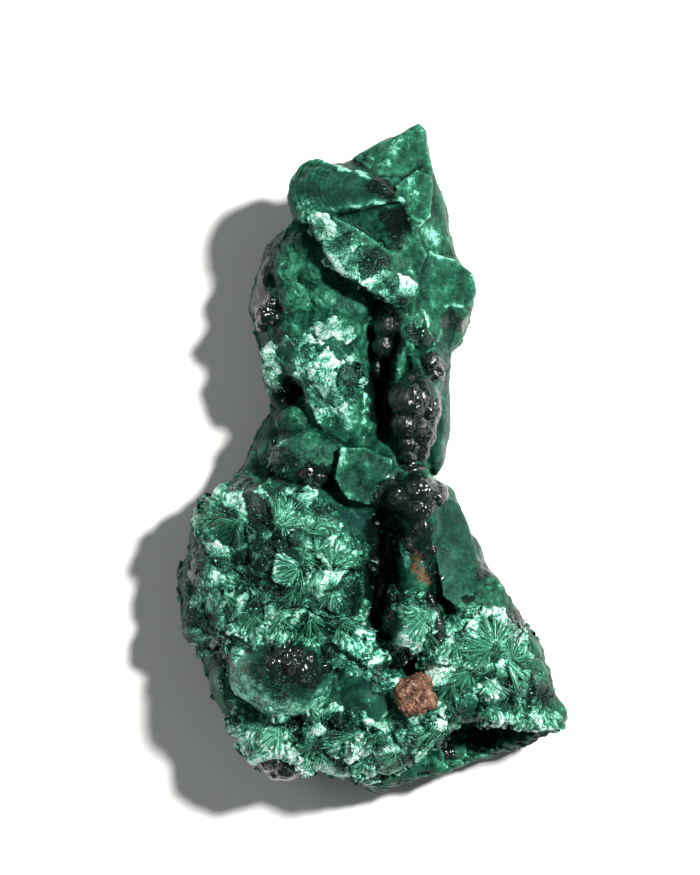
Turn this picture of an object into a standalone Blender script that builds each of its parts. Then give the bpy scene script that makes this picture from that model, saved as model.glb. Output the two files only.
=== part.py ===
"""Fibrous malachite specimen, one grown stone lying on its back.

Metres, +Z up. Seen from above, +Y runs from the broad foot to the narrow tip and +X to the right.
The origin is under the middle of the stone's box, on the plane that it rests on.

The stone is a broken slab, with rounded growths ("lobes") fused on its upper side. Clefts and
hollows are cut between them, and the back is broken too, with its high spots worn level.
"""

import random
from math import radians
from typing import NamedTuple

import bmesh
import bpy
from mathutils import Euler, Matrix, Vector, noise

MM = 0.001

# Driving dimensions, in millimetres
SLAB_TOP = 7.0  # height of the broken slab under the growths
SLAB_BELOW = 0.6  # how far the slab reaches below the resting plane before it is worn level
SLAB_INSET = 0.7  # the rim growths, and not the slab, reach the outline
BACK_CHAMFER = 1.8  # how far the broken back draws in under the slab
CORE_TOP = 11.6  # height of the solid core under the upper growths
CORE_INSET = 4.2
RIM_STEP = 3.6  # spacing of the growths along the rim
RIM_INSET = 2.3
RIM_SEED = 4
UNION_VOXEL = 0.45  # grain of the fused body
SKIN_VOXEL = 0.45  # grain after the clefts are cut
ROUNDING_PASSES = 2
LOBE_WOBBLE = 0.16  # how far a growth departs from an ellipsoid, as a share of its radius
SPACE_WOBBLE = 0.5  # the same for the clefts and the broken hollows
WAVES = 1.0  # depth of the broad unevenness
WAVE_SIZE = 4.5
CHIPS = 0.7  # depth of the small broken facets
CHIP_SIZE = 2.1
KEPT_FACES = 0.085  # share of the faces that the final, faceted solid keeps

# The slab's outline seen from above, from the tip round the right side, in millimetres
OUTLINE = [
    (5.0, 37.0), (5.8, 35.6), (5.9, 33.2), (6.8, 30.4), (8.2, 26.4), (8.6, 22.8),
    (10.4, 20.6), (10.8, 18.8), (9.8, 14.6), (8.2, 11.0), (8.4, 7.2), (7.3, 2.6),
    (7.0, 0.2), (7.9, -4.2), (9.2, -8.0), (11.6, -10.6), (14.2, -13.6), (17.0, -19.4),
    (20.2, -25.4), (22.1, -28.6), (21.8, -30.3), (17.2, -32.1), (12.9, -33.0), (9.6, -34.0),
    (8.4, -35.0), (4.7, -35.5), (0.2, -37.2), (-2.4, -35.5), (-6.6, -34.1), (-10.5, -35.3),
    (-12.2, -34.0), (-15.1, -30.4), (-17.8, -26.2), (-20.1, -21.8), (-22.0, -16.6),
    (-22.2, -14.2), (-20.3, -10.0), (-17.2, -4.8), (-14.2, -0.8), (-12.6, 3.8), (-11.1, 6.3),
    (-12.3, 10.4), (-13.7, 15.4), (-12.9, 19.4), (-10.2, 25.4), (-8.2, 27.4), (-6.2, 31.2),
    (-2.0, 33.2), (1.6, 35.2), (3.6, 36.6),
]


class Lobe(NamedTuple):
    """A rounded growth: its centre, its radii in millimetres, and its turn about +Z in degrees."""

    x: float
    y: float
    z: float
    rx: float
    ry: float
    rz: float
    turn: float = 0.0


# Flat-topped shards: the corners of each one's upper face, and its depth
TIP_SHARD = (9.0, [
    (-3.0, 33.6, 12.0), (1.4, 35.7, 13.4), (3.6, 37.1, 14.0), (5.1, 37.6, 14.0),
    (6.0, 36.4, 13.4), (6.4, 33.2, 14.0), (6.6, 31.4, 15.0), (1.0, 32.2, 16.2), (-1.6, 33.0, 14.6),
])
BANDED_EAR = (6.0, [
    (-9.5, 29.6, 15.6), (-9.2, 31.5, 15.6), (-8.0, 33.1, 15.2), (-6.3, 33.8, 14.8),
    (-4.0, 33.3, 15.8), (-0.4, 31.6, 17.6), (2.4, 29.8, 18.2), (3.8, 28.6, 18.4),
    (-4.3, 27.7, 19.0), (-6.6, 26.9, 18.2), (-8.8, 27.4, 16.8),
])
CROWN_PLATE = (6.0, [
    (-4.3, 27.7, 18.4), (4.2, 28.5, 18.0), (5.0, 26.6, 16.4), (3.8, 23.4, 15.4),
    (0.4, 24.0, 15.6), (-3.4, 25.0, 16.6),
])
FLANK_SHARD = (9.0, [
    (6.4, 32.8, 14.0), (7.4, 30.2, 11.2), (8.4, 27.4, 10.4), (9.1, 22.8, 10.0),
    (7.4, 22.2, 12.6), (4.9, 25.2, 15.2), (4.2, 28.6, 16.2), (5.0, 31.6, 15.6),
])
SIDE_PLATE = (8.0, [
    (4.1, 23.6, 14.6), (7.4, 23.1, 13.6), (10.4, 21.7, 11.8), (11.7, 19.2, 11.2),
    (11.1, 16.6, 11.8), (8.7, 16.6, 13.6), (6.1, 17.4, 14.6), (4.6, 20.2, 15.0),
])
SHARDS = [TIP_SHARD, BANDED_EAR, CROWN_PLATE, FLANK_SHARD, SIDE_PLATE]

# Rounded growths, region by region
CROWN = [
    Lobe(-4.6, 30.0, 15.0, 4.0, 3.2, 4.4, -12),
    Lobe(1.6, 29.4, 15.0, 4.0, 2.6, 3.8, -10),
    Lobe(0.4, 26.2, 13.6, 4.6, 2.6, 3.6, -8),
    Lobe(3.4, 30.2, 12.4, 3.4, 3.4, 4.2),
]
SPARKLING_RIDGE = [
    Lobe(-3.9, 24.8, 14.8, 2.2, 2.0, 3.6, -30),
    Lobe(-1.6, 22.6, 15.2, 2.8, 2.2, 3.6, -35),
    Lobe(1.3, 21.0, 15.6, 3.0, 2.4, 3.6, -35),
    Lobe(3.6, 18.9, 15.0, 2.0, 2.4, 3.4, -30),
    Lobe(-5.4, 22.2, 11.6, 3.4, 2.2, 3.6, -35),
    Lobe(3.8, 22.4, 12.0, 2.4, 2.6, 3.4),
]
RIGHT_FLANK = [
    Lobe(5.8, 27.0, 8.6, 2.4, 5.6, 5.8, -8),
    Lobe(6.6, 21.4, 8.8, 3.2, 4.6, 5.4),
    Lobe(8.0, 18.9, 8.6, 3.2, 3.4, 5.0),
    Lobe(8.4, 15.0, 7.8, 2.4, 2.8, 4.2),
]
LEFT_COLUMN = [
    Lobe(-8.0, 22.8, 9.8, 3.5, 4.0, 5.2, 20),
    Lobe(-6.0, 19.4, 10.8, 3.0, 3.7, 4.8, 10),
    Lobe(-9.6, 18.0, 9.2, 3.2, 3.7, 4.8),
    Lobe(-11.2, 16.0, 8.2, 2.3, 3.2, 4.2),
    Lobe(-3.6, 18.3, 10.6, 4.2, 3.4, 4.2, -15),
    Lobe(-4.3, 14.8, 12.2, 4.2, 3.1, 4.8, -12),
    Lobe(-8.4, 14.2, 11.2, 3.2, 2.6, 4.2),
]
WAIST_LEFT = [
    Lobe(-10.3, 12.2, 9.4, 2.2, 2.6, 4.0),
    Lobe(-10.6, 9.2, 8.2, 1.7, 2.8, 3.6),
    Lobe(-7.0, 11.2, 12.2, 3.2, 2.8, 4.2, 10),
    Lobe(-3.9, 9.8, 12.6, 4.2, 4.2, 5.0, 15),
    Lobe(-2.2, 5.6, 12.2, 3.4, 3.7, 4.8),
    Lobe(-7.4, 4.6, 10.2, 2.8, 2.2, 3.8),
]
RIGHT_COLUMN = [
    Lobe(3.9, 14.0, 12.6, 1.8, 4.4, 5.2, 8),
    Lobe(6.0, 15.0, 11.4, 2.2, 3.2, 4.4),
    Lobe(6.7, 9.0, 9.6, 2.0, 5.4, 4.6),
    Lobe(6.2, 3.0, 8.8, 2.0, 4.0, 4.4),
]
UPPER_KNOBS = [
    Lobe(1.4, 15.8, 10.8, 1.9, 2.0, 2.9),
    Lobe(2.2, 13.2, 10.4, 1.6, 1.9, 2.8),
    Lobe(6.9, 11.2, 12.8, 1.7, 1.7, 3.2),
    Lobe(5.2, 7.8, 15.4, 2.3, 2.7, 4.2, -20),
    Lobe(3.8, 5.6, 14.8, 2.2, 2.6, 3.8),
    Lobe(5.0, 3.4, 13.2, 2.4, 2.4, 3.8),
    Lobe(4.1, 0.9, 12.8, 1.6, 1.6, 2.8),
]
WAIST = [
    Lobe(-6.7, 1.2, 11.2, 4.4, 3.2, 4.6, 8),
    Lobe(-7.0, -1.4, 12.6, 2.4, 1.7, 3.4),
    Lobe(-0.8, -0.8, 12.8, 3.7, 3.7, 4.6),
    Lobe(-0.6, -3.4, 12.0, 3.0, 2.6, 4.0),
    Lobe(-12.0, 1.6, 5.6, 2.0, 4.0, 4.0, -20),
]
LEFT_SLOPE = [
    Lobe(-13.1, -3.6, 8.6, 3.4, 3.4, 4.8, -35),
    Lobe(-16.2, -7.6, 9.0, 3.8, 3.8, 5.2, -20),
    Lobe(-18.8, -12.6, 6.8, 2.9, 3.4, 4.8),
    Lobe(-16.0, -12.8, 9.4, 4.0, 3.6, 5.2),
    Lobe(-19.0, -17.6, 7.2, 2.4, 3.0, 4.4),
]
SILKY_FIELD = [
    Lobe(-9.3, -5.4, 12.0, 4.0, 3.2, 4.8, -20),
    Lobe(-9.8, -10.7, 12.4, 4.4, 3.8, 5.0, 10),
    Lobe(-4.8, -8.6, 12.8, 4.0, 4.4, 5.0),
    Lobe(-4.6, -14.4, 13.2, 3.8, 4.0, 5.0),
    Lobe(-9.3, -16.2, 12.4, 4.8, 3.6, 5.0),
    Lobe(-14.3, -18.4, 10.4, 3.8, 3.4, 5.0),
]
LOWER_KNOBS = [
    Lobe(4.9, -3.3, 14.2, 2.9, 2.7, 4.2),
    Lobe(5.6, -7.4, 13.6, 2.6, 3.8, 4.2),
    Lobe(5.2, -12.2, 13.6, 2.2, 3.8, 3.8, 6),
    Lobe(4.4, -17.6, 14.6, 2.8, 3.4, 4.2),
    Lobe(6.6, -19.2, 13.6, 2.2, 3.4, 3.8),
]
RIGHT_SHOULDER = [
    Lobe(7.4, -6.2, 9.0, 2.2, 4.2, 5.0, -10),
    Lobe(9.0, -11.0, 9.2, 3.0, 4.2, 5.0, -35),
    Lobe(11.2, -15.4, 9.4, 3.8, 4.2, 5.4, -35),
]
RIGHT_WING = [
    Lobe(13.6, -19.6, 10.2, 4.0, 4.4, 5.2, -30),
    Lobe(9.4, -21.2, 11.8, 4.0, 4.0, 5.2),
    Lobe(16.6, -25.2, 9.6, 3.6, 4.2, 5.0, -30),
    Lobe(19.6, -27.8, 9.0, 2.8, 2.3, 4.2, -25),
    Lobe(12.9, -24.6, 11.0, 4.4, 3.4, 5.0),
    Lobe(15.4, -27.2, 10.4, 5.0, 1.8, 3.6, -10),
]
BIG_BOTRYOID = [
    Lobe(-10.4, -23.0, 13.0, 5.2, 4.3, 5.8, -12),
    Lobe(-7.0, -25.0, 12.6, 3.6, 3.0, 4.8, -20),
]
FOOT = [
    Lobe(-2.2, -19.6, 12.8, 4.6, 3.4, 4.8, -15),
    Lobe(-0.6, -24.0, 13.0, 4.4, 3.4, 4.8, -15),
    Lobe(-3.2, -27.8, 12.0, 4.2, 3.2, 4.8),
    Lobe(-15.2, -24.8, 8.8, 2.4, 4.2, 4.8, 25),
    Lobe(-12.4, -29.8, 9.2, 3.0, 3.8, 4.8, 30),
    Lobe(-8.2, -30.4, 10.4, 3.8, 3.4, 4.6),
    Lobe(-3.4, -32.4, 9.4, 3.4, 2.8, 4.2),
    Lobe(0.8, -30.4, 11.4, 4.2, 3.6, 4.8),
    Lobe(5.2, -28.6, 12.0, 4.0, 3.2, 4.6, 25),
    Lobe(8.2, -25.4, 12.4, 4.0, 3.6, 5.0, 20),
]
BROWN_GRAIN = [Lobe(4.5, -25.6, 15.6, 2.3, 2.1, 2.4, 15)]
FOOT_CRUMBS = [
    Lobe(0.6, -35.0, 5.6, 2.8, 2.2, 3.4),
    Lobe(3.8, -34.2, 6.2, 2.6, 1.7, 3.4, 15),
    Lobe(7.7, -33.8, 5.2, 2.0, 1.7, 3.6),
    Lobe(11.6, -32.6, 3.8, 2.6, 1.2, 3.0, 10),
    Lobe(-9.8, -33.9, 6.6, 2.3, 1.8, 3.4),
]
LOBES = [
    *CROWN, *SPARKLING_RIDGE, *RIGHT_FLANK, *LEFT_COLUMN, *WAIST_LEFT, *RIGHT_COLUMN,
    *UPPER_KNOBS, *WAIST, *LEFT_SLOPE, *SILKY_FIELD, *LOWER_KNOBS, *RIGHT_SHOULDER,
    *RIGHT_WING, *BIG_BOTRYOID, *FOOT, *BROWN_GRAIN, *FOOT_CRUMBS,
]

# What is missing from the body, as the shapes of the spaces themselves
UPPER_CLEFT = [
    Lobe(0.4, 12.4, 16.6, 1.3, 4.4, 6.4, 8),
    Lobe(1.6, 7.4, 16.0, 1.1, 4.4, 6.4, 8),
]
LOWER_CLEFT = [
    Lobe(1.4, -8.6, 16.4, 1.6, 3.6, 7.0, 6),
    Lobe(0.6, -13.6, 16.4, 2.1, 4.0, 8.4, 4),
    Lobe(1.6, -18.4, 17.6, 1.7, 3.8, 7.4, -14),
    Lobe(2.6, -22.4, 18.4, 1.6, 1.4, 4.6, -30),
]
UNDER_THE_EAR = [Lobe(-5.6, 25.6, 16.0, 2.6, 0.7, 4.6, -38)]
BLACK_PIT = [Lobe(-8.6, 7.6, 14.0, 1.8, 1.4, 3.6)]
UNDER_THE_WING = [
    Lobe(12.0, -30.6, 9.0, 3.4, 1.9, 6.2, 8),
    Lobe(16.4, -30.4, 9.0, 4.4, 1.0, 4.2, 6),
]
BACK_HOLLOWS = [
    Lobe(1.4, 26.0, -1.0, 5.0, 4.4, 2.5, 15),
    Lobe(-2.6, 21.6, -1.2, 4.0, 5.4, 2.9, -20),
    Lobe(9.6, 19.4, -0.8, 3.4, 5.2, 3.4, 10),
    Lobe(-7.6, 7.4, -1.4, 5.2, 4.0, 3.4, 35),
    Lobe(-1.8, 5.0, -1.6, 4.6, 2.6, 2.6, -25),
    Lobe(-11.6, -6.6, -1.2, 5.6, 3.6, 2.6, 40),
    Lobe(-10.4, -12.4, -1.4, 4.4, 4.6, 3.2, -10),
    Lobe(-18.6, -13.0, -0.6, 3.8, 6.2, 3.4, 20),
    Lobe(7.2, -15.2, -1.2, 4.6, 5.8, 3.2, -35),
    Lobe(11.6, -21.8, -1.2, 5.4, 4.2, 3.0, -50),
    Lobe(3.4, -20.6, -1.6, 3.6, 3.0, 2.8),
    Lobe(-7.0, -28.4, -1.0, 5.4, 3.2, 2.4, -20),
    Lobe(-3.0, -34.4, -0.6, 4.8, 3.0, 2.8, 5),
    Lobe(19.4, -29.0, -0.8, 3.6, 2.6, 2.2, -30),
]
SPACES = [
    *UPPER_CLEFT, *LOWER_CLEFT, *UNDER_THE_EAR, *BLACK_PIT, *UNDER_THE_WING, *BACK_HOLLOWS,
]

MALACHITE = {"color": (0.015, 0.19, 0.10, 1.0), "roughness": 0.42, "metallic": 0.0}


def clear_scene():
    """Removes whatever the file holds, so that the model is all there is."""
    for old in list(bpy.data.objects):
        bpy.data.objects.remove(old, do_unlink=True)


def make_material(name, color, roughness, metallic):
    """A plain material with one Principled shader."""
    material = bpy.data.materials.new(name)
    material.use_nodes = True
    shader = material.node_tree.nodes["Principled BSDF"]
    shader.inputs["Base Color"].default_value = color
    shader.inputs["Roughness"].default_value = roughness
    shader.inputs["Metallic"].default_value = metallic
    return material


def add_object(name, shape):
    """Makes an object of a bmesh, and frees the bmesh."""
    mesh = bpy.data.meshes.new(name)
    shape.to_mesh(mesh)
    shape.free()
    made = bpy.data.objects.new(name, mesh)
    bpy.context.scene.collection.objects.link(made)
    return made


def inset_outline(distance):
    """The slab's outline, each corner moved this far inwards along the line that halves its angle."""
    moved = []
    for index, corner in enumerate(OUTLINE):
        here = Vector(corner)
        before = (here - Vector(OUTLINE[index - 1])).normalized()
        after = (Vector(OUTLINE[(index + 1) % len(OUTLINE)]) - here).normalized()
        along = (before + after).normalized()
        moved.append(here + Vector((along.y, -along.x)) * distance)
    return moved


def add_block(shape, levels):
    """A closed block through the outline at several levels, each one a height and an inset."""
    rings = []
    for height, inset in levels:
        corners = inset_outline(inset)
        rings.append([shape.verts.new((x * MM, y * MM, height * MM)) for x, y in corners])
    faces = [shape.faces.new(rings[0]), shape.faces.new(rings[-1])]
    for lower, upper in zip(rings, rings[1:]):
        edges = []
        for ring in (lower, upper):
            pairs = zip(ring, ring[1:] + ring[:1])
            edges += [shape.edges.get(pair) or shape.edges.new(pair) for pair in pairs]
        faces += bmesh.ops.bridge_loops(shape, edges=edges)["faces"]
    bmesh.ops.recalc_face_normals(shape, faces=faces)


def add_slab_and_core(shape):
    """The broken slab, drawn in at the back, and the solid core that the upper growths stand on."""
    add_block(shape, [
        (-SLAB_BELOW, SLAB_INSET + BACK_CHAMFER), (1.6, SLAB_INSET), (SLAB_TOP, SLAB_INSET),
    ])
    add_block(shape, [(1.0, CORE_INSET), (CORE_TOP, CORE_INSET)])


def add_shard(shape, depth, corners):
    """An angular shard: the hull of its upper face and of the same corners at its foot."""
    top = [shape.verts.new(Vector(corner) * MM) for corner in corners]
    foot = [shape.verts.new((Vector(corner) - Vector((0, 0, depth))) * MM) for corner in corners]
    hull = bmesh.ops.convex_hull(shape, input=top + foot, use_existing_faces=False)
    unused = {v for v in hull["geom_interior"] if isinstance(v, bmesh.types.BMVert)}
    bmesh.ops.delete(shape, geom=list(unused), context="VERTS")


def rim_lobes():
    """Growths along the slab's rim, at uneven heights, so that its sides are knobbly."""
    chance = random.Random(RIM_SEED)
    corners = inset_outline(RIM_INSET)
    made, run = [], 0.0
    for start, end in zip(corners, corners[1:] + corners[:1]):
        run += (end - start).length
        if run < RIM_STEP:
            continue
        run = 0.0
        radius = chance.uniform(2.1, 2.9)
        height = chance.uniform(1.6, 6.2)
        made.append(Lobe(end.x, end.y, height, radius, radius, chance.uniform(2.0, 3.2)))
    return made


def add_lobe(shape, lobe, wobble):
    """One ellipsoid, with an uneven skin so that no two are alike."""
    ball = bmesh.ops.create_icosphere(shape, subdivisions=4, radius=1.0)["verts"]
    seed = Vector((lobe.x, lobe.y, lobe.z))
    for vert in ball:
        vert.co *= 1.0 + wobble * noise.noise(vert.co * 1.6 + seed)
    place = (
        Matrix.Translation(seed * MM)
        @ Euler((0.0, 0.0, radians(lobe.turn))).to_matrix().to_4x4()
        @ Matrix.Diagonal((lobe.rx * MM, lobe.ry * MM, lobe.rz * MM, 1.0))
    )
    bmesh.ops.transform(shape, matrix=place, verts=ball)


def make_cutter(name, spaces):
    """The spaces as a cutter, which the build leaves out."""
    shape = bmesh.new()
    for space in spaces:
        add_lobe(shape, space, SPACE_WOBBLE)
    cutter = add_object(name, shape)
    fuse = cutter.modifiers.new("fuse", "REMESH")
    fuse.mode = "VOXEL"
    fuse.voxel_size = UNION_VOXEL * MM
    cutter.hide_render = True
    cutter.display_type = "WIRE"
    return cutter


def make_floor_cutter():
    """A block under the resting plane, which wears the back's high spots level."""
    shape = bmesh.new()
    bmesh.ops.create_cube(shape, size=1.0)
    size = Matrix.Diagonal((120 * MM, 120 * MM, 20 * MM, 1.0))
    bmesh.ops.transform(shape, matrix=Matrix.Translation((0, 0, -10 * MM)) @ size, verts=shape.verts)
    block = add_object("level_back", shape)
    block.hide_render = True
    block.display_type = "WIRE"
    return block


def remesh(obj, name, voxel):
    """Fuses everything that overlaps into one closed skin."""
    modifier = obj.modifiers.new(name, "REMESH")
    modifier.mode = "VOXEL"
    modifier.voxel_size = voxel * MM
    modifier.use_smooth_shade = True


def cut(obj, name, cutter):
    """Takes the cutter's shape away."""
    modifier = obj.modifiers.new(name, "BOOLEAN")
    modifier.operation = "DIFFERENCE"
    modifier.object = cutter


def roughen(obj, name, kind, depth, size):
    """Moves the skin in and out by a solid texture."""
    texture = bpy.data.textures.new(name, kind)
    texture.noise_scale = size * MM
    modifier = obj.modifiers.new(name, "DISPLACE")
    modifier.texture = texture
    modifier.texture_coords = "LOCAL"
    modifier.strength = depth * MM
    modifier.mid_level = 0.5


def make_body():
    """The fused stone, before it is centred: slab and lobes, less the clefts and hollows."""
    shape = bmesh.new()
    add_slab_and_core(shape)
    for depth, corners in SHARDS:
        add_shard(shape, depth, corners)
    for lobe in LOBES + rim_lobes():
        add_lobe(shape, lobe, LOBE_WOBBLE)
    body = add_object("body", shape)
    remesh(body, "fuse", UNION_VOXEL)
    cut(body, "clefts", make_cutter("clefts", SPACES))
    remesh(body, "skin", SKIN_VOXEL)
    rounding = body.modifiers.new("rounding", "SMOOTH")
    rounding.factor = 0.5
    rounding.iterations = ROUNDING_PASSES
    roughen(body, "waves", "CLOUDS", WAVES, WAVE_SIZE)
    roughen(body, "chips", "VORONOI", CHIPS, CHIP_SIZE)
    fewer = body.modifiers.new("fewer_faces", "DECIMATE")
    fewer.ratio = KEPT_FACES
    cut(body, "level_back", make_floor_cutter())
    return body


def settle(body, name, material):
    """The finished stone: the body as its modifiers make it, with its box centred over the origin."""
    graph = bpy.context.evaluated_depsgraph_get()
    mesh = bpy.data.meshes.new_from_object(body.evaluated_get(graph))
    mesh.name = name
    for other in list(bpy.data.objects):
        bpy.data.objects.remove(other, do_unlink=True)
    places = [vert.co for vert in mesh.vertices]
    low = Vector([min(place[axis] for place in places) for axis in range(3)])
    high = Vector([max(place[axis] for place in places) for axis in range(3)])
    middle = (low + high) / 2
    mesh.transform(Matrix.Translation((-middle.x, -middle.y, -low.z)))
    mesh.materials.clear()
    mesh.materials.append(material)
    mesh.shade_smooth()
    mesh.set_sharp_from_angle(angle=0.6)
    stone = bpy.data.objects.new(name, mesh)
    bpy.context.scene.collection.objects.link(stone)
    return stone


def main():
    """Builds the specimen."""
    clear_scene()
    material = make_material("malachite", **MALACHITE)
    settle(make_body(), "malachite_stone", material)


main()
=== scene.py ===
"""Looks of the fibrous malachite specimen: skin, silky sprays, black botryoids and their finishes.

The stone lies on its back on a pale floor and the camera looks down on it. Lengths in this file
are millimetres unless a name says otherwise, and seen from above +X is right and +Y is the tip.
"""

import logging
import math
import random
from collections.abc import Callable, Iterator
from dataclasses import dataclass
from enum import Enum

import bmesh
import bpy
import numpy as np
from mathutils import Euler, Matrix, Vector, noise
from mathutils.bvhtree import BVHTree


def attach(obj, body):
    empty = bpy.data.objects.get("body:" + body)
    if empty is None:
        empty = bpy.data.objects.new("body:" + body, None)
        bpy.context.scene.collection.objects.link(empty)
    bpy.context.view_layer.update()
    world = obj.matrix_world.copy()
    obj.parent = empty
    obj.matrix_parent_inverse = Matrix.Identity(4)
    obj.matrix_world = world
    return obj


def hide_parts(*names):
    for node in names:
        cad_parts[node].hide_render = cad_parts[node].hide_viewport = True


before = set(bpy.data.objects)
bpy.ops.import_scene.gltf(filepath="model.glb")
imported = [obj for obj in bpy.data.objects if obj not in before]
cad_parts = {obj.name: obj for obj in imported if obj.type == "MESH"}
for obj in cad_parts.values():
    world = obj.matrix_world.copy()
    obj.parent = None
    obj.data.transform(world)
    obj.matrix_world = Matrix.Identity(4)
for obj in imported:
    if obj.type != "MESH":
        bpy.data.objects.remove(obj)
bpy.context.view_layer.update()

MM = 0.001
NODE = "malachite_stone"
BODY = "root"
UP = Vector((0.0, 0.0, 1.0))
LOW_SIDE, HIGH_SIDE = 5.0, 9.5  # the growths fade out of the sides between these heights
GROWTH_FLOOR = 9.0  # no crystal stands lower

logging.basicConfig(level=logging.INFO, format="%(message)s")
LOG = logging.getLogger("malachite")

Colour = tuple[float, float, float]


# ---------------------------------------------------------------- shader graph


class Value:
    """A number that varies over a surface. Arithmetic on it adds Math nodes."""

    def __init__(self, graph: "Graph", socket: bpy.types.NodeSocket) -> None:
        """Wraps a socket.

        Args:
            graph: the graph that the socket belongs to.
            socket: the output that gives the number.
        """
        self.graph = graph
        self.socket = socket

    def __add__(self, other: "Value | float") -> "Value":
        """Sum of two values."""
        return self.graph.math("ADD", self, other)

    def __sub__(self, other: "Value | float") -> "Value":
        """Difference of two values."""
        return self.graph.math("SUBTRACT", self, other)

    def __rsub__(self, other: float) -> "Value":
        """A number less this value."""
        return self.graph.math("SUBTRACT", other, self)

    def __mul__(self, other: "Value | float") -> "Value":
        """Product of two values."""
        return self.graph.math("MULTIPLY", self, other)

    __radd__ = __add__
    __rmul__ = __mul__

    def step(self, low: float, high: float, to_low: float = 0.0,
             to_high: float = 1.0) -> "Value":
        """A soft step.

        Args:
            low: where the step starts.
            high: where it ends.
            to_low: result below the step.
            to_high: result above it.

        Returns:
            The stepped value.
        """
        made = self.graph.node(
            "ShaderNodeMapRange",
            {"interpolation_type": "SMOOTHSTEP"},
            {"Value": self, "From Min": low, "From Max": high, "To Min": to_low,
             "To Max": to_high},
        )
        return Value(self.graph, made.outputs["Result"])


class Graph:
    """Builds one material's nodes."""

    def __init__(self, name: str) -> None:
        """Starts an empty material.

        Args:
            name: the material's name.
        """
        self.material = bpy.data.materials.new(name)
        self.material.use_nodes = True
        self.tree = self.material.node_tree
        self.tree.nodes.clear()

    def node(self, kind: str, settings: dict | None = None,
             inputs: dict | None = None) -> bpy.types.Node:
        """Adds a node of any type.

        Args:
            kind: the node's type name.
            settings: its own settings, which are set first.
            inputs: socket name or index to a value, a socket or a Value.

        Returns:
            The node.
        """
        made = self.tree.nodes.new(kind)
        for name, value in (settings or {}).items():
            setattr(made, name, value)
        for key, value in (inputs or {}).items():
            target = made.inputs[key]
            if isinstance(value, Value):
                self.tree.links.new(value.socket, target)
            elif isinstance(value, bpy.types.NodeSocket):
                self.tree.links.new(value, target)
            elif isinstance(value, tuple) and len(value) == 3 and target.type == "RGBA":
                target.default_value = (*value, 1.0)
            else:
                target.default_value = value
        return made

    def math(self, operation: str, *values: "Value | float") -> Value:
        """A Math node.

        Args:
            operation: its operation.
            values: its operands.

        Returns:
            The result.
        """
        made = self.node("ShaderNodeMath", {"operation": operation}, dict(enumerate(values)))
        return Value(self, made.outputs[0])

    def attribute(self, name: str) -> Value:
        """A number stored on the mesh.

        Args:
            name: the attribute's name.

        Returns:
            Its value.
        """
        made = self.node("ShaderNodeAttribute", {"attribute_name": name})
        return Value(self, made.outputs["Fac"])

    def direction(self, name: str) -> bpy.types.NodeSocket:
        """A vector stored on the mesh.

        Args:
            name: the attribute's name.

        Returns:
            The vector socket.
        """
        return self.node("ShaderNodeAttribute", {"attribute_name": name}).outputs["Vector"]

    def place(self) -> bpy.types.NodeSocket:
        """Position on the object in millimetres.

        Returns:
            The vector socket.
        """
        where = self.node("ShaderNodeTexCoord").outputs["Object"]
        return self.vectors("SCALE", {0: where, "Scale": 1.0 / MM})

    def vectors(self, operation: str, inputs: dict) -> bpy.types.NodeSocket:
        """A Vector Math node.

        Args:
            operation: its operation.
            inputs: its operands.

        Returns:
            The vector socket.
        """
        return self.node("ShaderNodeVectorMath", {"operation": operation}, inputs).outputs[0]

    def noise(self, where: bpy.types.NodeSocket, scale: float, detail: float = 2.0,
              rough: float = 0.5, warp: float = 0.0) -> Value:
        """Smooth noise.

        Args:
            where: the position it reads.
            scale: features for each unit of position.
            detail: octaves.
            rough: how strong the finer octaves are.
            warp: how far the noise is bent by itself.

        Returns:
            The noise, from about 0.2 to 0.8.
        """
        made = self.node(
            "ShaderNodeTexNoise", {"noise_dimensions": "3D"},
            {"Vector": where, "Scale": scale, "Detail": detail, "Roughness": rough,
             "Distortion": warp},
        )
        return Value(self, made.outputs["Fac"])

    def cells(self, where: bpy.types.NodeSocket, scale: float) -> bpy.types.Node:
        """Voronoi cells.

        Args:
            where: the position they read.
            scale: cells for each unit of position.

        Returns:
            The node.
        """
        return self.node(
            "ShaderNodeTexVoronoi", {"feature": "F1", "voronoi_dimensions": "3D"},
            {"Vector": where, "Scale": scale},
        )

    def chance(self, cells: bpy.types.Node) -> Value:
        """A random number for each cell.

        Args:
            cells: a Voronoi node.

        Returns:
            The number, from 0 to 1.
        """
        split = self.node("ShaderNodeSeparateColor", None, {0: cells.outputs["Color"]})
        return Value(self, split.outputs[0])

    def ramp(self, value: Value, stops: list[tuple[float, Colour]]) -> bpy.types.NodeSocket:
        """Colours along a number.

        Args:
            value: the number.
            stops: its places and colours, in order.

        Returns:
            The colour socket.
        """
        made = self.node("ShaderNodeValToRGB", None, {"Fac": value})
        elements = made.color_ramp.elements
        while len(elements) < len(stops):
            elements.new(0.5)
        for element, (place, colour) in zip(elements, stops):
            element.position = place
            element.color = (*colour, 1.0)
        return made.outputs["Color"]

    def blend(self, share: "Value | float", first: "bpy.types.NodeSocket | Colour",
              second: "bpy.types.NodeSocket | Colour") -> bpy.types.NodeSocket:
        """Mixes two colours.

        Args:
            share: how much of the second.
            first: the colour at 0.
            second: the colour at 1.

        Returns:
            The colour socket.
        """
        made = self.node(
            "ShaderNodeMix", {"data_type": "RGBA", "blend_type": "MIX"},
            {0: share, 6: first, 7: second},
        )
        return made.outputs[2]

    def bump(self, height: Value, depth: float, strength: float = 1.0,
             under: bpy.types.NodeSocket | None = None) -> bpy.types.NodeSocket:
        """Relief too fine for the mesh.

        Args:
            height: relief from 0 to 1.
            depth: its depth in millimetres.
            strength: its share.
            under: relief that it lies on.

        Returns:
            The normal socket.
        """
        inputs = {"Height": height, "Distance": depth * MM, "Strength": strength}
        if under is not None:
            inputs["Normal"] = under
        return self.node("ShaderNodeBump", None, inputs).outputs["Normal"]

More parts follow.
